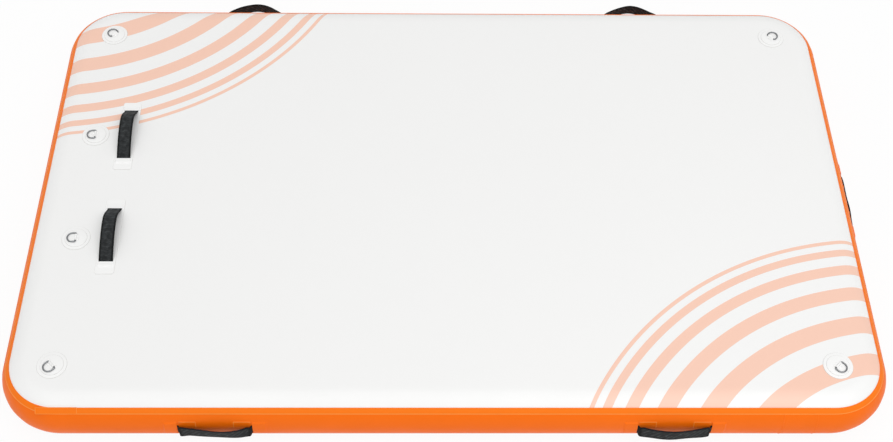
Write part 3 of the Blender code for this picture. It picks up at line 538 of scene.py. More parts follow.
def bridged(bm, rings, closed=True):
    """Faces between each ring of points and the next, all the way round."""
    for index, ring in enumerate(rings):
        following = rings[(index + 1) % len(rings)]
        for step in range(len(ring) if closed else len(ring) - 1):
            after = (step + 1) % len(ring)
            bm.faces.new((ring[step], following[step], following[after], ring[after]))


def turned(profile, segments, place=lambda turn, radius, height: (radius, height)):
    """Turn a closed profile of (radius, height) points round the upright axis."""
    bm = bmesh.new()
    rings = []
    for segment in range(segments):
        turn = FULL_TURN * segment / segments
        spots = [place(turn, radius, height) for radius, height in profile]
        rings.append([
            bm.verts.new((radius * math.cos(turn), radius * math.sin(turn), height))
            for radius, height in spots])
    bridged(bm, rings)
    bmesh.ops.remove_doubles(bm, verts=bm.verts, dist=MERGE_DISTANCE)
    bmesh.ops.dissolve_degenerate(bm, edges=bm.edges, dist=MERGE_DISTANCE)
    return bm


def grid(columns, rows, place):
    """Sheet of points; place(along, across) gives each point and its place in the weave."""
    bm = bmesh.new()
    bmesh.ops.create_grid(bm, x_segments=columns, y_segments=rows, size=1)
    weave = bm.verts.layers.float_vector.new("weave_place")
    for vert in bm.verts:
        along, across = (vert.co.x + 1) / 2, (vert.co.y + 1) / 2
        vert.co, flat = place(along, across)
        vert[weave] = Vector(flat).to_3d() if len(flat) == 2 else Vector(flat)
    return bm


def extruded(bm, shift):
    """Extrude a bmesh's faces, which closes it."""
    grown = bmesh.ops.extrude_face_region(bm, geom=bm.faces[:])["geom"]
    bmesh.ops.translate(bm, vec=shift, verts=[
        item for item in grown if isinstance(item, bmesh.types.BMVert)])


def prism(outline, width):
    """Closed outline in the XZ plane, extruded evenly to both sides along Y."""
    bm = bmesh.new()
    bm.faces.new([bm.verts.new((x, -width / 2, z)) for x, z in outline])
    extruded(bm, (0, width, 0))
    return bm


def arc(centre, radius, start, stop, steps):
    """Points on an arc in a plane, from one angle to another."""
    turns = [start + (stop - start) * step / steps for step in range(steps + 1)]
    return [(centre[0] + radius * math.cos(t), centre[1] + radius * math.sin(t)) for t in turns]


def wire(points, radius, steps, closed):
    """Round wire along a line of points, as a bmesh."""
    curve = bpy.data.curves.new("wire", "CURVE")
    curve.dimensions = "3D"
    curve.bevel_depth = radius
    curve.bevel_resolution = steps
    curve.use_fill_caps = not closed
    line = curve.splines.new("POLY")
    line.points.add(len(points) - 1)
    for point, place in zip(line.points, points):
        point.co = (*place, 1)
    line.use_cyclic_u = closed
    holder = bpy.data.objects.new("wire", curve)
    bm = bmesh.new()
    bm.from_mesh(holder.to_mesh())
    bpy.data.objects.remove(holder)
    bmesh.ops.remove_doubles(bm, verts=bm.verts, dist=MERGE_DISTANCE)
    return bm


def smoothed(share):
    share = min(1.0, max(0.0, share))
    return share * share * (3 - 2 * share)


def weld_line(name, points, radius, closed=True, material="pressed_pvc_bead"):
    """Thin bead along the edge of a welded tape or patch, as the press squeezes it out; its default
    paler colour paints the highlight along that edge, and a grey one paints the shade along a
    patch's step.
    """
    piece(name, wire(points, radius, BEAD_STEPS, closed), material)


# Air chamber

def rim_stations():
    """Plan centre and outward direction of each station round the flat face."""
    reach_x = LENGTH / 2 - CORNER_RADIUS
    reach_y = WIDTH / 2 - CORNER_RADIUS
    corners = [Vector((x * reach_x, y * reach_y)) for x, y in ((1, 1), (-1, 1), (-1, -1), (1, -1))]
    stations = []
    for quarter, here in enumerate(corners):
        for step in range(CORNER_STEPS + 1):
            turn = (quarter + step / CORNER_STEPS) * QUARTER_TURN
            away = Vector((math.cos(turn), math.sin(turn)))
            stations.append((here, away))
        there = corners[(quarter + 1) % 4]
        for step in range(1, RUN_STEPS):
            stations.append((here.lerp(there, step / RUN_STEPS), away))
    return stations


def edge_point(station, radius, angle):
    """Point over the half-round edge, with the angle measured from straight up."""
    base, away = station
    flat = base + away * (CORNER_RADIUS - SIDE_RADIUS + radius * math.sin(angle))
    return Vector((flat.x, flat.y, SIDE_RADIUS + radius * math.cos(angle)))


def swept(profile, ripple=lambda station, angle: 0):
    """Sweep a profile of (angle, radius) points round the platform's edge."""
    bm = bmesh.new()
    bridged(bm, [[
        bm.verts.new(edge_point(station, radius + ripple(station, angle), angle))
        for angle, radius in profile] for station in rim_stations()])
    return bm


def band_profile(start, stop, steps, outer, thickness, lip):
    """Closed band between two angles, whose long edges are rounded by a lip."""
    arcs = [start + (stop - start) * step / steps for step in range(steps + 1)]
    ends = math.copysign(lip / outer, stop - start)
    inner = outer - thickness
    shoulder = outer - lip * LIP_SHARE
    top = [(start, outer - lip), (start + ends * LIP_SHARE, shoulder)]
    top += [(start + ends, outer)] + [(angle, outer) for angle in arcs[1:-1]]
    top += [(stop - ends, outer), (stop - ends * LIP_SHARE, shoulder), (stop, outer - lip)]
    return top + [(angle, inner) for angle in reversed(arcs)]


def skin(name, node, start, stop, material):
    """Flat face of the chamber, with its edge turned over the side and a thickness of its own."""
    angles = [start + (stop - start) * step / SKIN_STEPS for step in range(SKIN_STEPS + 1)]
    profile = [(angle, SIDE_RADIUS) for angle in angles]
    profile += [(angle, SIDE_RADIUS - SKIN) for angle in reversed(angles)]
    bm = bmesh.new()
    rings = []
    for station in rim_stations():
        base, away = station
        flat = base + away * (CORNER_RADIUS - SIDE_RADIUS - FLAT_INSET)
        line = [edge_point(station, radius, angle) for angle, radius in profile]
        line = [(*flat, line[0].z), *line, (*flat, line[-1].z)]
        rings.append([bm.verts.new(point) for point in line])
    bridged(bm, rings, closed=False)
    for end in (0, -1):
        bm.faces.new([ring[end] for ring in rings])
    piece(name, bm, material, [node])


class DOCK_OT_materials(bpy.types.Operator):
    """Make the material of each real finish"""
    bl_idname = "dock.materials"
    bl_label = "Materials"

    def execute(self, context):
        look = context.scene.dock_chamber
        make_deck_fabric(look)
        # Roughness, depth of the grain, strength of the mottle and level of the gloss
        for name, colour, *finish in (
                ("calendered_pvc_underside", look.underside_colour, 0.44, 0.00006, 0.05),
                ("calendered_pvc_wall", look.wall_colour, 0.46, 0.00004, 0.08, 0.16),
                ("calendered_pvc_tape", look.tape_colour, 0.42, 0.00004, 0.04, 0.08),
                ("pressed_pvc_bead", look.bead_highlight_colour, 0.38, 0.00004, 0.02, 0.15),
                ("calendered_pvc_patch", look.patch_colour, 0.36, 0.00006, 0.02),
                ("yellowed_glue_line", look.step_shade_colour, 0.40, 0.00004, 0.10),
                ("calendered_pvc_liner", look.liner_colour, 0.50, 0.00006, 0.08)):
            coated_fabric(name, colour[:], *finish)
        straps = context.scene.dock_straps
        make_webbing(straps, "twill_polyester_webbing", "DIAGONAL", 3 * straps.rib_pitch)
        make_webbing(straps, "ribbed_polyester_webbing", "X", 2 * straps.rib_pitch)
        rings = context.scene.dock_rings
        make_steel("tumbled_stainless_wire", rings.steel_colour[:], 0.22)
        make_steel("drawn_spring_wire", linear("#A9A7A2"), 0.30)
        valve = context.scene.dock_valve
        # Roughness, IOR, grit of the mould and depth of its grain
        make_moulded("moulded_nylon", valve.body_colour[:], 0.44, 1.53, 0.0006, 0.00004)
        make_moulded("moulded_acetal", valve.plunger_colour[:], 0.34, 1.48, 0.0006, 0.00002)
        make_moulded("moulded_rubber", linear("#232324"), 0.72, 1.52, 0.0004, 0.00005)
        make_base_cloth(linear("#DCD9CE"))
        return {"FINISHED"}


class DOCK_OT_skins(bpy.types.Operator):
    """Build the printed deck and the plain underside"""
    bl_idname = "dock.skins"
    bl_label = "Deck and Underside"

    def execute(self, context):
        skin("deck", "deck_skin", 0, SKIN_EDGE, "calendered_pvc_deck")
        skin("underside", "bottom_skin", HALF_TURN, HALF_TURN - SKIN_EDGE,
             "calendered_pvc_underside")
        return {"FINISHED"}


class DOCK_OT_wall(bpy.types.Operator):
    """Build the side wall with its slight corner gathers and the hole for the valve"""
    bl_idname = "dock.wall"
    bl_label = "Side Wall"

    def execute(self, context):
        look = context.scene.dock_chamber

        def gathers(station, angle):
            base, away = station
            turn = math.atan2(abs(away.y), abs(away.x))
            across = math.sin((angle - SKIN_EDGE) / (HALF_TURN - 2 * SKIN_EDGE) * HALF_TURN)
            return look.gather_depth * math.sin(2 * turn) * across * math.cos(GATHER_COUNT * turn)

        start = SKIN_EDGE + CLEARANCE / SIDE_RADIUS
        profile = band_profile(start, HALF_TURN - start, WALL_STEPS, SIDE_RADIUS, SKIN, WALL_LIP)
        wall = piece("wall", swept(profile, gathers), "calendered_pvc_wall",
                     ["side_wall"])
        hole = tube(0, VALVE_BORE, VALVE_HOLE_LOW, VALVE_HOLE_TOP)
        combined(wall, turned(hole, SLIM_SIDES), "DIFFERENCE")
        return {"FINISHED"}


class DOCK_OT_tapes(bpy.types.Operator):
    """Build both seam tapes, the overlap of the top one, the joint tape and their weld beads"""
    bl_idname = "dock.tapes"
    bl_label = "Seam Tapes"

    def execute(self, context):
        outer = SIDE_RADIUS + CLEARANCE + TAPE
        for name, start, stop in (
                ("top", TAPE_TOP, TAPE_LOW),
                ("bottom", HALF_TURN - TAPE_TOP, HALF_TURN - TAPE_LOW)):
            bm = swept(band_profile(start, stop, TAPE_STEPS, outer, TAPE, TAPE_LIP))
            piece(f"{name}_tape", bm, "calendered_pvc_tape", [f"{name}_seam_tape"])
            lap = math.copysign(SEAM_BEAD / outer, stop - start)
            # The paler bead along the tape's lower edge paints the highlight along it
            weld_line(f"{name}_tape_bead", [
                edge_point(station, SIDE_RADIUS + CLEARANCE, stop + lap)
                for station in rim_stations()], SEAM_BEAD)
        joint = TAPE_LOW + JOINT_TAPE_GAP / outer
        lap_ends = (TAPE_TOP - TAPE_OVERLAP_RISE, TAPE_LOW + TAPE_OVERLAP_DROP)
        # Each tape's bead is paler than its coat, which paints the highlight along its edge
        for name, (left, right), (start, stop), radius, depth, coat, bead, nodes in (
                ("joint_tape", JOINT_TAPE_PLACE, (joint, HALF_TURN - joint), outer - TAPE, TAPE,
                 "calendered_pvc_wall", "calendered_pvc_tape", ["wall_joint_tape"]),
                ("tape_overlap", TAPE_OVERLAP_PLACE, lap_ends, outer, TAPE * TAPE_OVERLAP_SHARE,
                 "calendered_pvc_tape", "pressed_pvc_bead", [])):

            def point(along, across):
                x = left + (right - left) * along
                angle = start + (stop - start) * across
                away = radius * math.sin(angle)
                return ((x, -SIDE - away, SIDE_RADIUS + radius * math.cos(angle)),
                        (x, angle * radius))

            sheet_piece(name, grid(TAPE_COLUMNS, TAPE_ROWS, point), coat, "wall_pvc", nodes,
                        depth, 1.0)
            up = [(0, step / TAPE_ROWS) for step in range(TAPE_ROWS)]
            up += [(step / TAPE_COLUMNS, 1) for step in range(TAPE_COLUMNS)]
            outline = up + [(1 - along, 1 - across) for along, across in up]
            weld_line(f"{name}_bead", [point(*spot)[0] for spot in outline], THIN_BEAD,
                      material=bead)
        return {"FINISHED"}


class DOCK_OT_inner_layers(bpy.types.Operator):
    """Give the hidden solids inside the chamber their finishes"""
    bl_idname = "dock.inner_layers"
    bl_label = "Inner Layers"

    def execute(self, context):
        for node, material in (
                ("side_wall_liner", "calendered_pvc_liner"),
                ("drop_stitch_core", "knitted_polyester_core"),
                ("valve_backing_washer", "moulded_nylon"), ("valve_nut", "moulded_nylon")):
            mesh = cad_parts[node].data
            mesh.materials.clear()
            mesh.materials.append(bpy.data.materials[material])
        return {"FINISHED"}


# Tie-down rings

def ring_matrix(x, y, degrees, height):
    return Matrix.Translation((x, y, THICKNESS + height)) @ Matrix.Rotation(
        math.radians(degrees), 4, "Z")


def ring_line():
    """Centre line of a D-ring: straight bar on its hinge, two corners and a half-round bow."""
    shoulder = RING_DEPTH - RING_HALF_WIDTH
    bow = arc((shoulder, 0), RING_HALF_WIDTH, -QUARTER_TURN, QUARTER_TURN, BOW_STEPS)
    high = (RING_CORNER, RING_HALF_WIDTH - RING_CORNER)
    low = (RING_CORNER, RING_CORNER - RING_HALF_WIDTH)
    left = arc(high, RING_CORNER, QUARTER_TURN, HALF_TURN, RING_CORNER_STEPS)
    right = arc(low, RING_CORNER, HALF_TURN, 3 * QUARTER_TURN, RING_CORNER_STEPS)
    return [(x, y, 0) for x, y in bow + left + right]


def tab_outline(wire_radius):
    """Side view of the strip that loops over the bar, with a flat tail on each side."""
    inner = wire_radius + CLEARANCE
    outer = inner + TAB_THICKNESS
    foot = -wire_radius
    shelf = foot + TAB_THICKNESS
    tail = TAB_LENGTH / 2
    low = math.asin(min(0.0, shelf) / outer)
    over = arc((0, 0), outer, low, HALF_TURN - low, TAB_OUTER_STEPS)
    under = arc((0, 0), inner, HALF_TURN, 0, TAB_INNER_STEPS)
    return ([(tail, foot), (tail, shelf)] + over + [(-tail, shelf), (-tail, foot), (-inner, foot)]
            + under + [(inner, foot)])


class DOCK_OT_rings(bpy.types.Operator):
    """Build the six tie-down rings with their round patches and tabs"""
    bl_idname = "dock.rings"
    bl_label = "Tie-down Rings"

    def execute(self, context):
        look = context.scene.dock_rings
        outer, inner = RING_PATCH_RADII
        low, middle, top = [CLEARANCE + layer * RING_LAYER for layer in range(3)]
        bar_height = top + CLEARANCE + look.wire_radius
        profile = soften([
            (0, low), (outer, low), (outer, middle), (inner, middle), (inner, top), (0, top)],
            look.lip_radius)
        for name, (x, y, degrees) in RING_PLACES.items():
            piece(f"ring_patch_{name}", turned(profile, WIDE_SIDES), "calendered_pvc_patch",
                  [f"dring_patch_{name}"], place=ring_matrix(x, y, degrees, 0))
            # Grey lines round each patch's foot and step paint the shade that falls along them
            for part, radius, height in (("foot", outer, low), ("step", inner, middle)):
                weld_line(f"ring_step_shade_{part}_{name}", [
                    (*spot, THICKNESS + height)
                    for spot in arc((x, y), radius, 0, FULL_TURN, WIDE_SIDES)[:-1]],
                    look.step_shade_radius, material="yellowed_glue_line")
            seat = ring_matrix(x, y, degrees, bar_height)
            piece(f"ring_{name}", wire(ring_line(), look.wire_radius, RING_WIRE_STEPS, True),
                  "tumbled_stainless_wire", [f"dring_{name}"], f"ring_{name}", seat)
            tab = piece(f"ring_tab_{name}", prism(tab_outline(look.wire_radius), TAB_WIDTH),
                        "calendered_pvc_patch", [f"dring_tab_{name}"], place=seat)
            rounded(tab)
        return {"FINISHED"}


# Webbing handles

def strap_curve(points, share):
    """Point on a smooth line through the given points, at a share of its count of spans."""
    spans = len(points) - 1
    at = min(spans, max(0.0, share * spans))
    index = min(spans - 1, int(at))
    t = at - index
    p = [Vector(points[min(spans, max(0, index + step))]) for step in (-1, 0, 1, 2)]
    return 0.5 * (2 * p[1] + (p[2] - p[0]) * t + (2 * p[0] - 5 * p[1] + 4 * p[2] - p[3]) * t ** 2
                  + (3 * p[1] - p[0] - 3 * p[2] + p[3]) * t ** 3)


class DOCK_OT_deck_handles(bpy.types.Operator):
    """Build the two arched grab handles with their base patches and end patches"""
    bl_idname = "dock.deck_handles"
    bl_label = "Deck Handles"

    def execute(self, context):
        look = context.scene.dock_straps
        base_top = THICKNESS + CLEARANCE + PATCH
        tail_height = base_top + CLEARANCE + WEBBING / 2
        half_span = DECK_SPAN / 2
        line = [(-half_span - DECK_TAIL, 0.0), (-half_span - DECK_TAIL / 2, 0.0)]
        line += [((run - 0.5) * DECK_SPAN, up * DECK_RISE) for run, up in ARCH]
        line += [(half_span + DECK_TAIL / 2, 0.0), (half_span + DECK_TAIL, 0.0)]
        wide, long = DECK_BASE_HALF
        for name, home in DECK_HANDLE_PLACES.items():
            bm = bmesh.new()
            bm.faces.new([bm.verts.new((side_x * wide, side_y * long, 0)) for side_x, side_y in (
                (1, -1), (1, 1), (-1, 1), (-1, -1))])
            bmesh.ops.bevel(bm, geom=bm.verts[:], offset=DECK_BASE_CORNER,
                            segments=DECK_BASE_CORNER_STEPS, affect="VERTICES")
            bmesh.ops.translate(
                bm, vec=(DECK_HANDLE_X, home, THICKNESS + CLEARANCE), verts=bm.verts)
            bm.faces.ensure_lookup_table()
            # A grey line round the base patch's foot paints the shade along its edge
            weld_line(f"grab_step_shade_{name}", [vert.co for vert in bm.faces[0].verts],
                      DECK_STEP_SHADE_RADIUS, material="yellowed_glue_line")
            extruded(bm, (0, 0, PATCH))
            rounded(piece(f"grab_base_{name}", bm, "calendered_pvc_patch",
                          [f"deck_handle_{name}_base"]))

            def strap_point(along, across):
                run, height = strap_curve(line, along)
                run += DECK_NEAR_TUCK * min(1.0, max(0.0, -run / half_span))
                width = (across - 0.5) * WEBBING_WIDTH
                cup = look.cup_depth * (2 * across - 1) ** 2 * smoothed(height / DECK_RISE * 2)
                return ((DECK_HANDLE_X + width, home + run, tail_height + height - cup),
                        (run + height, width))

            strap_piece(f"grab_strap_{name}", grid(*DECK_STRAP_GRID, strap_point),
                        "ribbed_polyester_webbing", f"deck_handle_{name}")
            for end, side, root in (
                    ("far", 1, half_span), ("near", -1, half_span - DECK_NEAR_TUCK)):

                def on_deck(run, width, height):
                    return DECK_HANDLE_X + width, home + side * (root + run), base_top + height

                end_patch(f"grab_patch_{name}_{end}", f"deck_handle_{name}_patch_{end}",
                          DECK_PATCH_GRID, "calendered_pvc_patch", "patch_pvc", side,
                          long - root - DECK_PATCH_INSET, wide - DECK_PATCH_INSET, DECK_TAIL,
                          DECK_PATCH_SLOPE, on_deck)
        return {"FINISHED"}


def wall_point(x, across, height, rise):
    """Point over the half-round wall, in a handle's frame whose origin is the arc's centre."""
    angle = math.asin(rise / SIDE_RADIUS) + across / SIDE_RADIUS
    radius = SIDE_RADIUS + height
    return Vector((x, radius * math.cos(angle), radius * math.sin(angle)))


def grip_point(x, across, form):
    """Centre surface of a carry strap: curved like the wall at its roots, flat in mid-span."""
    rise, leg, bow, lean, blend = form
    share = min(1.0, abs(x) / (SIDE_SPAN / 2))
    standoff = CLEARANCE + WEBBING / 2
    lift = leg * (1 - share ** ROOT_STEEPNESS) + bow * (1 - share ** BOW_POWER)
    tilt = lean + (ROOT_LEAN - lean) * share ** 2
    mix = min(1.0, (1 - share) / blend)
    flat = Vector((x, SIDE_RADIUS + standoff + lift - across * tilt, rise + across))
    return wall_point(x, across, standoff + lift, rise).lerp(flat, mix)


class DOCK_OT_side_handles(bpy.types.Operator):
    """Build the five carry handles on the side wall with the patches over their ends"""
    bl_idname = "dock.side_handles"
    bl_label = "Carry Handles"

    def execute(self, context):
        look = context.scene.dock_straps
        half_span = SIDE_SPAN / 2
        reach = half_span + SIDE_TAIL
        half_width = POCKET + SIDE_SLOPE + SIDE_PATCH_MARGIN
        patch_end = SIDE_TAIL + POCKET_MARGIN + SIDE_SLOPE + SIDE_PATCH_END
        for name, (x, y, degrees, swing, form) in SIDE_HANDLES.items():
            seat = Matrix.Translation((x, y, SIDE_RADIUS)) @ Matrix.Rotation(
                math.radians(degrees), 4, "Z")
            phase = math.radians(degrees) + x

            def strap_point(along, across):
                run = (2 * along - 1) * reach
                width = (across - 0.5) * WEBBING_WIDTH
                past = abs(run) - half_span
                free = smoothed(-past / FREE_RUN)
                tuck = look.root_tuck * smoothed((past + TUCK_RUN) / TUCK_RUN)
                point = grip_point(run, width - tuck * smoothed(2 * across - 1), form)
                sway = look.wave_height * free * math.sin(run / WAVE_RUN + phase)
                point.z += sway
                point.y += swing * free * math.sin(math.pi * run / half_span)
                point.y += (sway - swing * free) * (across - 0.5)
                # The weave's third value paints shade on the strap near its roots
                return seat @ point, (run, width, smoothed((past + ROOT_SHADE_START) / ROOT_SHADE_RUN))

            strap_piece(f"carry_strap_{name}", grid(*SIDE_STRAP_GRID, strap_point),
                        "twill_polyester_webbing", f"{name}_handle")
            for end, side in (("a", 1), ("b", -1)):

                def on_wall(run, width, height):
                    return seat @ wall_point(side * (half_span + run), width, height, form[0])

                end_patch(f"carry_patch_{name}_{end}", f"{name}_handle_patch_{end}",
                          SIDE_PATCH_GRID, "calendered_pvc_wall", "wall_patch_pvc", side,
                          patch_end, half_width, SIDE_TAIL, SIDE_SLOPE, on_wall)

                # The base flap starts where the strap has risen clear of it
                start = 0.0
                while grip_point(half_span - start, 0, form).y - SIDE_RADIUS < WEBBING + 2 * PATCH:
                    start += FLAP_SEARCH_STEP

                def flap_point(along, across):
                    run = -start - (FLAP_LENGTH - start) * along
                    width = (2 * across - 1) * FLAP_HALF_WIDTH
                    return on_wall(run, width, CLEARANCE), (half_span + run, width)

                sheet_piece(f"carry_flap_{name}_{end}", grid(*FLAP_GRID, flap_point),
                            "calendered_pvc_wall", "wall_patch_pvc", [], PATCH, -side)
                # The paler bead along the flap's top edge paints the highlight along it
                bead = [flap_point(along, 1)[0] for along in FLAP_BEAD_SHARES]
                bead += [flap_point(1, 1 - step / FLAP_BEAD_STEPS)[0]
                         for step in range(FLAP_BEAD_STEPS // 2)]
                weld_line(f"carry_bead_{name}_{end}", bead, THIN_BEAD, closed=False)
        return {"FINISHED"}


# Valve

def valve_axis():
    """Frame of the valve: its height axis points out of the far wall."""
    return Matrix.Translation((0, SIDE, SIDE_RADIUS - VALVE_DROP)) @ Matrix.Rotation(
        -QUARTER_TURN, 4, "X")


def turned_part(name, profile, rounding, sides, material, node, body="platform"):
    """Piece of the valve, turned from a profile with rounded corners."""
    return piece(name, turned(soften(profile, rounding), sides), material, [node], body,
                 valve_axis())


class DOCK_OT_valve(bpy.types.Operator):
    """Build the inflation valve, its plunger and spring, and its cap"""
    bl_idname = "dock.valve"
    bl_label = "Inflation Valve"

    def execute(self, context):
        look = context.scene.dock_valve
        outside = SIDE_RADIUS + CLEARANCE

        def on_wall(turn, radius, height):
            if height >= VALVE_SEAT - BOSS_LIP_DROP:
                return radius, height
            return radius, math.sqrt(outside ** 2 - (radius * math.sin(turn) + VALVE_DROP) ** 2)

        piece("valve_boss_ring", turned(BOSS_PROFILE, WIDE_SIDES, on_wall), "calendered_pvc_tape",
              ["valve_boss"], place=valve_axis())
        turned_part("valve_washer", tube(*GASKET_TUBE), 0.0004, WIDE_SIDES, "moulded_rubber",
                    "valve_gasket")
        housing = turned_part("valve_housing", HOUSING_PROFILE, 0.0005, WIDE_SIDES,
                              "moulded_nylon", "valve_body")
        for index in range(SPOKE_COUNT):
            combined(housing, block(SPOKE_SIZE, SPOKE_CENTRE, 0.0004, 2), "UNION",
                     FULL_TURN * index / SPOKE_COUNT)
        hub = soften(tube(HUB_BORE, HUB_RADIUS, HUB_LOW, HUB_TOP), 0.0004)
        combined(housing, turned(hub, HUB_SIDES), "UNION")
        guide = tube(0, HUB_BORE, HUB_LOW - GUIDE_MARGIN, HUB_TOP + GUIDE_MARGIN)
        combined(housing, turned(guide, HUB_SIDES), "DIFFERENCE")

        turned_part("valve_button", BUTTON_PROFILE, 0.0006, SLIM_SIDES, "moulded_acetal",
                    "valve_plunger", "valve_plunger_group")
        turned_part("valve_disc_seal", tube(*DISC_SEAL_TUBE), 0.0005, SLIM_SIDES,
                    "moulded_rubber", "valve_seal", "valve_plunger_group")
        low, high = HUB_TOP + SPRING_GAP, BUTTON_LOW - SPRING_GAP
        steps = SPRING_TURNS * SPRING_TURN_STEPS
        coil = []
        for step in range(steps + 1):
            turn = FULL_TURN * step / SPRING_TURN_STEPS
            share = step / steps
            lead = smoothed(share) * (1 - SPRING_EVENNESS) + SPRING_EVENNESS * share
            coil.append((SPRING_RADIUS * math.cos(turn), SPRING_RADIUS * math.sin(turn),
                         low + (high - low) * lead))
        spring = piece("valve_coil", wire(coil, SPRING_WIRE_RADIUS, 3, False),
                       "drawn_spring_wire", ["valve_spring"], place=valve_axis())
        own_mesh(spring)

        turned_part("valve_cap_washer", tube(*CAP_SEAL_TUBE), 0.0004, WIDE_SIDES,
                    "moulded_rubber", "valve_cap_seal", "cap_seal_group")

        def knurled(turn, radius, height):
            if radius < KNURL_RADIUS or height > KNURL_TOP:
                return radius, height
            groove = 0.5 + 0.5 * math.cos(look.knurl_count * turn)
            return radius - look.knurl_depth * groove, height

        profile = soften(CAP_PROFILE, 0.0007)
        cap = piece("valve_turn_cap", turned(profile, look.knurl_count * KNURL_SIDES, knurled),
                    "moulded_nylon", ["valve_cap"], "cap_group", valve_axis())
        combined(cap, block(CAP_GRIP_SIZE, CAP_GRIP_CENTRE, 0.0012, 4), "UNION")
        return {"FINISHED"}


# Studio

def show_white(tree, own, kind, output, share=None):
    """Show plain white, or a share of it, to the camera, reflections and clear pieces."""
    path = add(tree, "LightPath")
    seen = path.outputs["Is Camera Ray"]
    for name in ("Is Glossy Ray", "Is Transmission Ray"):
        seen = add(tree, "Math", {0: seen, 1: path.outputs[name]}, operation="MAXIMUM")
    if share is not None:
        seen = add(tree, "Math", {0: seen, 1: share}, operation="MULTIPLY")
    white = add(tree, kind, {"Color": (1, 1, 1, 1), "Strength": 1.0})
    feed(tree, tree.nodes[output], {"Surface": add(tree, "MixShader", {0: seen, 1: own, 2: white})})


class DOCK_OT_studio(bpy.types.Operator):
    """Set the floor, the lamps, the world and the camera"""
    bl_idname = "dock.studio"
    bl_label = "Studio"

    def execute(self, context):
        look = context.scene.dock_studio
        scene = context.scene
        bm = bmesh.new()
        bmesh.ops.create_grid(bm, x_segments=2, y_segments=2, size=look.floor_size / 2)
        floor = new_object("studio_floor", bm)
        # Painted board: matt white, shown near white to the camera and in reflections
        tree, board = new_material("matt_painted_board", {
            "Roughness": 0.9, "Base Color": look.floor_colour[:]})
        floor.data.materials.append(bpy.data.materials["matt_painted_board"])
        show_white(tree, board, "Emission", "Material Output", look.floor_glow)

        scene.world = bpy.data.worlds.new("studio_world")
        scene.world.use_nodes = True
        tree = scene.world.node_tree
        dome = tree.nodes["Background"]
        feed(tree, dome, {"Color": (1, 1, 1, 1), "Strength": look.dome_level})
        show_white(tree, dome, "Background", "World Output")

        for name, kind, place, energy, measure, size in (
                ("key", "SUN", look.key_direction, look.key_level, "angle", look.key_spread),
                ("softbox", "AREA", look.softbox_place, look.softbox_power, "size",
                 look.softbox_size)):
            lamp = bpy.data.lights.new(name, kind)
            lamp.energy = energy
            setattr(lamp, measure, size)
            holder = bpy.data.objects.new(name, lamp)
            scene.collection.objects.link(holder)
            holder.location = place
            holder.rotation_euler = Vector(place).to_track_quat("Z", "Y").to_euler()

        camera = bpy.data.objects.new("camera", bpy.data.cameras.new("camera"))
        scene.collection.objects.link(camera)
        camera.matrix_world = Matrix.Translation(look.camera_place)
        for angle, axis in (
                (-look.camera_yaw, "Z"), (QUARTER_TURN - look.camera_pitch, "X"),
                (-look.camera_roll, "Z")):
            camera.matrix_world @= Matrix.Rotation(angle, 4, axis)
        camera.data.sensor_width = 36.0
        camera.data.lens = look.camera_lens
        scene.camera = camera
        scene.view_settings.view_transform = "Standard"
        return {"FINISHED"}


# Settings

def colour(name, description, code):
    """Setting for a colour, from an sRGB hex value."""
    return bpy.props.FloatVectorProperty(
        name=name, description=description, subtype="COLOR", size=4, min=0, max=1,
        default=linear(code))


def number(name, description, default, subtype="DISTANCE", unit="LENGTH", low=0, high=100):
    """Setting for a number, which is a length unless its unit says otherwise."""
    return bpy.props.FloatProperty(
        name=name, description=description, default=default, min=low, max=high, precision=5,
        subtype=subtype, unit=unit)


def angle(name, description, degrees):
    """Setting for an angle."""
    return number(
        name, description, math.radians(degrees), "ANGLE", "ROTATION", -HALF_TURN, HALF_TURN)


def vector(name, description, default, subtype="TRANSLATION", unit="LENGTH"):
    """Setting for a place, or for a direction."""
    return bpy.props.FloatVectorProperty(
        name=name, description=description, size=3, default=default, subtype=subtype, unit=unit)


class DockChamberLook(bpy.types.PropertyGroup):
    """Sizes and colours of the coated fabric"""
    deck_colour: colour("Deck", "Colour of the deck's coat", "#F6F6F5")
    stripe_colour: colour("Stripes", "Colour of the printed stripes", "#F8CCB7")
    underside_colour: colour("Underside", "Colour of the underside's coat", "#EDEDEB")
    wall_colour: colour("Side Wall", "Colour of the side wall", "#FF7304")
    tape_colour: colour("Tapes", "Colour of the seam tapes and wall patches", "#FF7E1C")
    # Paler than the tapes, so the beads paint the highlight along welded edges
    bead_highlight_colour: colour("Weld Beads", "Colour of the beads along welded edges", "#FFA24A")
    patch_colour: colour("Patches", "Colour of the welded deck patches", "#F9F9F8")
    # Grey of the lines that paint the shade along the patches' steps
    step_shade_colour: colour("Glue Lines", "Colour of the glue round the deck patches", "#D3D2CE")
    liner_colour: colour("Liner", "Colour of the inner wall layer", "#DADAD6")
    grain_pitch: number("Grain Pitch", "Spacing at which the cloth's threads are drawn", 0.0022)
    mottle_size: number("Mottle Size", "Width of the duller clouds in the coat", 0.12)
    gather_depth: number("Gather Depth", "Depth of the wall's gathers at the corners", 0.0003)


class DockRingLook(bpy.types.PropertyGroup):
    """Sizes and colours of the tie-down rings"""
    wire_radius: number(
        "Wire Radius", "Radius of the D-ring's wire",
        round((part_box("dring_near_left")[1].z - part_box("dring_near_left")[0].z) / 2, 4))
    lip_radius: number("Patch Lip", "Rounding of the round patch's edges", 0.0004)
    # Radius of the grey line that paints the shade along a patch's step
    step_shade_radius: number("Glue Line", "Radius of the glue bead round a patch", 0.0006)
    steel_colour: colour("Steel", "Colour of the ring's metal", "#7C7E80")


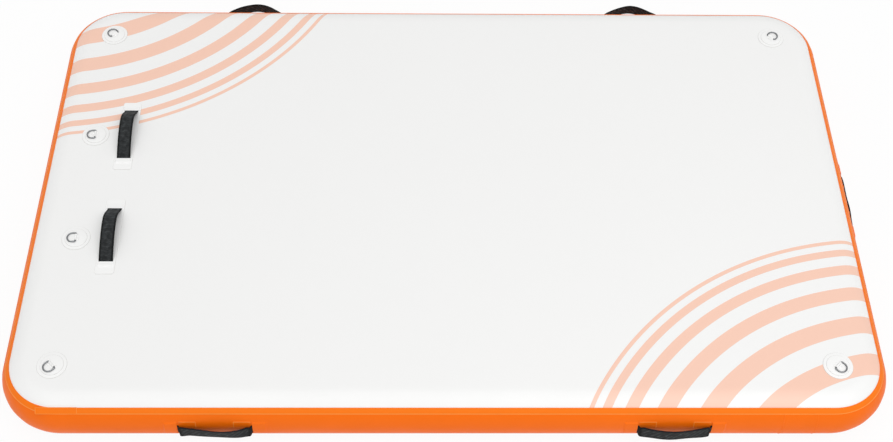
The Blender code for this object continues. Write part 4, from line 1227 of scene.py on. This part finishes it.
class DockStrapLook(bpy.types.PropertyGroup):
    """Sizes and colours of the webbing"""
    webbing_colour: colour("Webbing", "Colour of the yarn", "#2A2C2D")
    rib_pitch: number("Rib Pitch", "Spacing of the ribs that cross the webbing", 0.0025)
    thread_pitch: number("Thread Pitch", "Spacing of the threads along the webbing", 0.0016)
    cup_depth: number("Cup Depth", "How far the edges of a free strap curl down", 0.0008)
    wave_height: number("Wave Height", "Waviness of the carry straps in mid-span", 0.0010)
    root_tuck: number(
        "Root Tuck", "How far a carry strap's upper edge is tucked in at its roots", 0.0065)


class DockValveLook(bpy.types.PropertyGroup):
    """Sizes and colours of the inflation valve"""
    body_colour: colour("Valve Body", "Colour of the housing and the cap", "#6C6F72")
    plunger_colour: colour("Plunger", "Colour of the push button", "#242526")
    knurl_count: bpy.props.IntProperty(
        name="Knurls", description="Number of finger grooves round the cap", min=8, max=60,
        default=30)
    knurl_depth: number("Knurl Depth", "Depth of the finger grooves", 0.0006)


class DockStudioLook(bpy.types.PropertyGroup):
    """Floor, light and camera"""
    floor_size: number("Floor Size", "Side of the square floor", 24)
    floor_colour: colour("Floor", "Colour of the painted floor", "#F6F6F6")
    floor_glow: number(
        "Floor Glow", "Share of plain white in the floor as the camera sees it", 0.92, "FACTOR",
        "NONE", high=1)
    dome_level: number(
        "Dome Level", "Strength of the even light from all round", 0.45, "NONE", "NONE")
    key_level: number("Key Level", "Strength of the main lamp", 1.48, "NONE", "NONE")
    key_spread: angle("Key Spread", "Apparent size of the main lamp", 75)
    key_direction: vector(
        "Key Direction", "Where the main lamp stands", (0.03, -0.26, 0.92), "DIRECTION", "NONE")
    softbox_power: number(
        "Softbox Power", "Power of the square lamp at the near right", 9, "POWER", "NONE")
    softbox_size: number("Softbox Size", "Side of the square lamp", 1.2)
    softbox_place: vector("Softbox Place", "Where the square lamp hangs", (1.5, -1.7, 2.6))
    camera_place: vector("Camera Place", "Where the camera stands", (-0.0585, -2.3802, 3.2745))
    camera_yaw: angle("Camera Yaw", "Turn of the camera to the right", 1.557)
    camera_pitch: angle("Camera Pitch", "Tilt of the camera below level", 54.056)
    camera_roll: angle("Camera Roll", "Roll of the camera", -1.405)
    camera_lens: number(
        "Camera Lens", "Focal length in millimetres on a 36 mm sensor", 53.646, "NONE",
        "NONE")


STEPS = (
    ("dock_chamber", DockChamberLook, (
        DOCK_OT_materials, DOCK_OT_skins, DOCK_OT_wall, DOCK_OT_tapes, DOCK_OT_inner_layers)),
    ("dock_rings", DockRingLook, (DOCK_OT_rings,)),
    ("dock_straps", DockStrapLook, (DOCK_OT_deck_handles, DOCK_OT_side_handles)),
    ("dock_valve", DockValveLook, (DOCK_OT_valve,)),
    ("dock_studio", DockStudioLook, (DOCK_OT_studio,)),
)


class DOCK_PT_sidebar(bpy.types.Panel):
    """Lists the pieces of the platform and their settings"""
    bl_label = "Dock Platform"
    bl_space_type = "VIEW_3D"
    bl_region_type = "UI"
    bl_category = "Dock Platform"

    def draw(self, context):
        for group, look, operators in STEPS:
            box = self.layout.box()
            for operator in operators:
                box.operator(operator.bl_idname)
            for name in look.__annotations__:
                box.prop(getattr(context.scene, group), name)


def register():
    for group, look, operators in STEPS:
        bpy.utils.register_class(look)
        setattr(bpy.types.Scene, group, bpy.props.PointerProperty(type=look))
        for operator in operators:
            bpy.utils.register_class(operator)
    bpy.utils.register_class(DOCK_PT_sidebar)


def unregister():
    bpy.utils.unregister_class(DOCK_PT_sidebar)
    for group, look, operators in STEPS:
        for operator in operators:
            bpy.utils.unregister_class(operator)
        delattr(bpy.types.Scene, group)
        bpy.utils.unregister_class(look)


def main():
    """Build every piece in order."""
    register()
    bpy.ops.dock.materials()
    bpy.ops.dock.skins()
    bpy.ops.dock.wall()
    bpy.ops.dock.tapes()
    bpy.ops.dock.inner_layers()
    bpy.ops.dock.rings()
    bpy.ops.dock.deck_handles()
    bpy.ops.dock.side_handles()
    bpy.ops.dock.valve()
    bpy.ops.dock.studio()


if __name__ == "__main__":
    main()
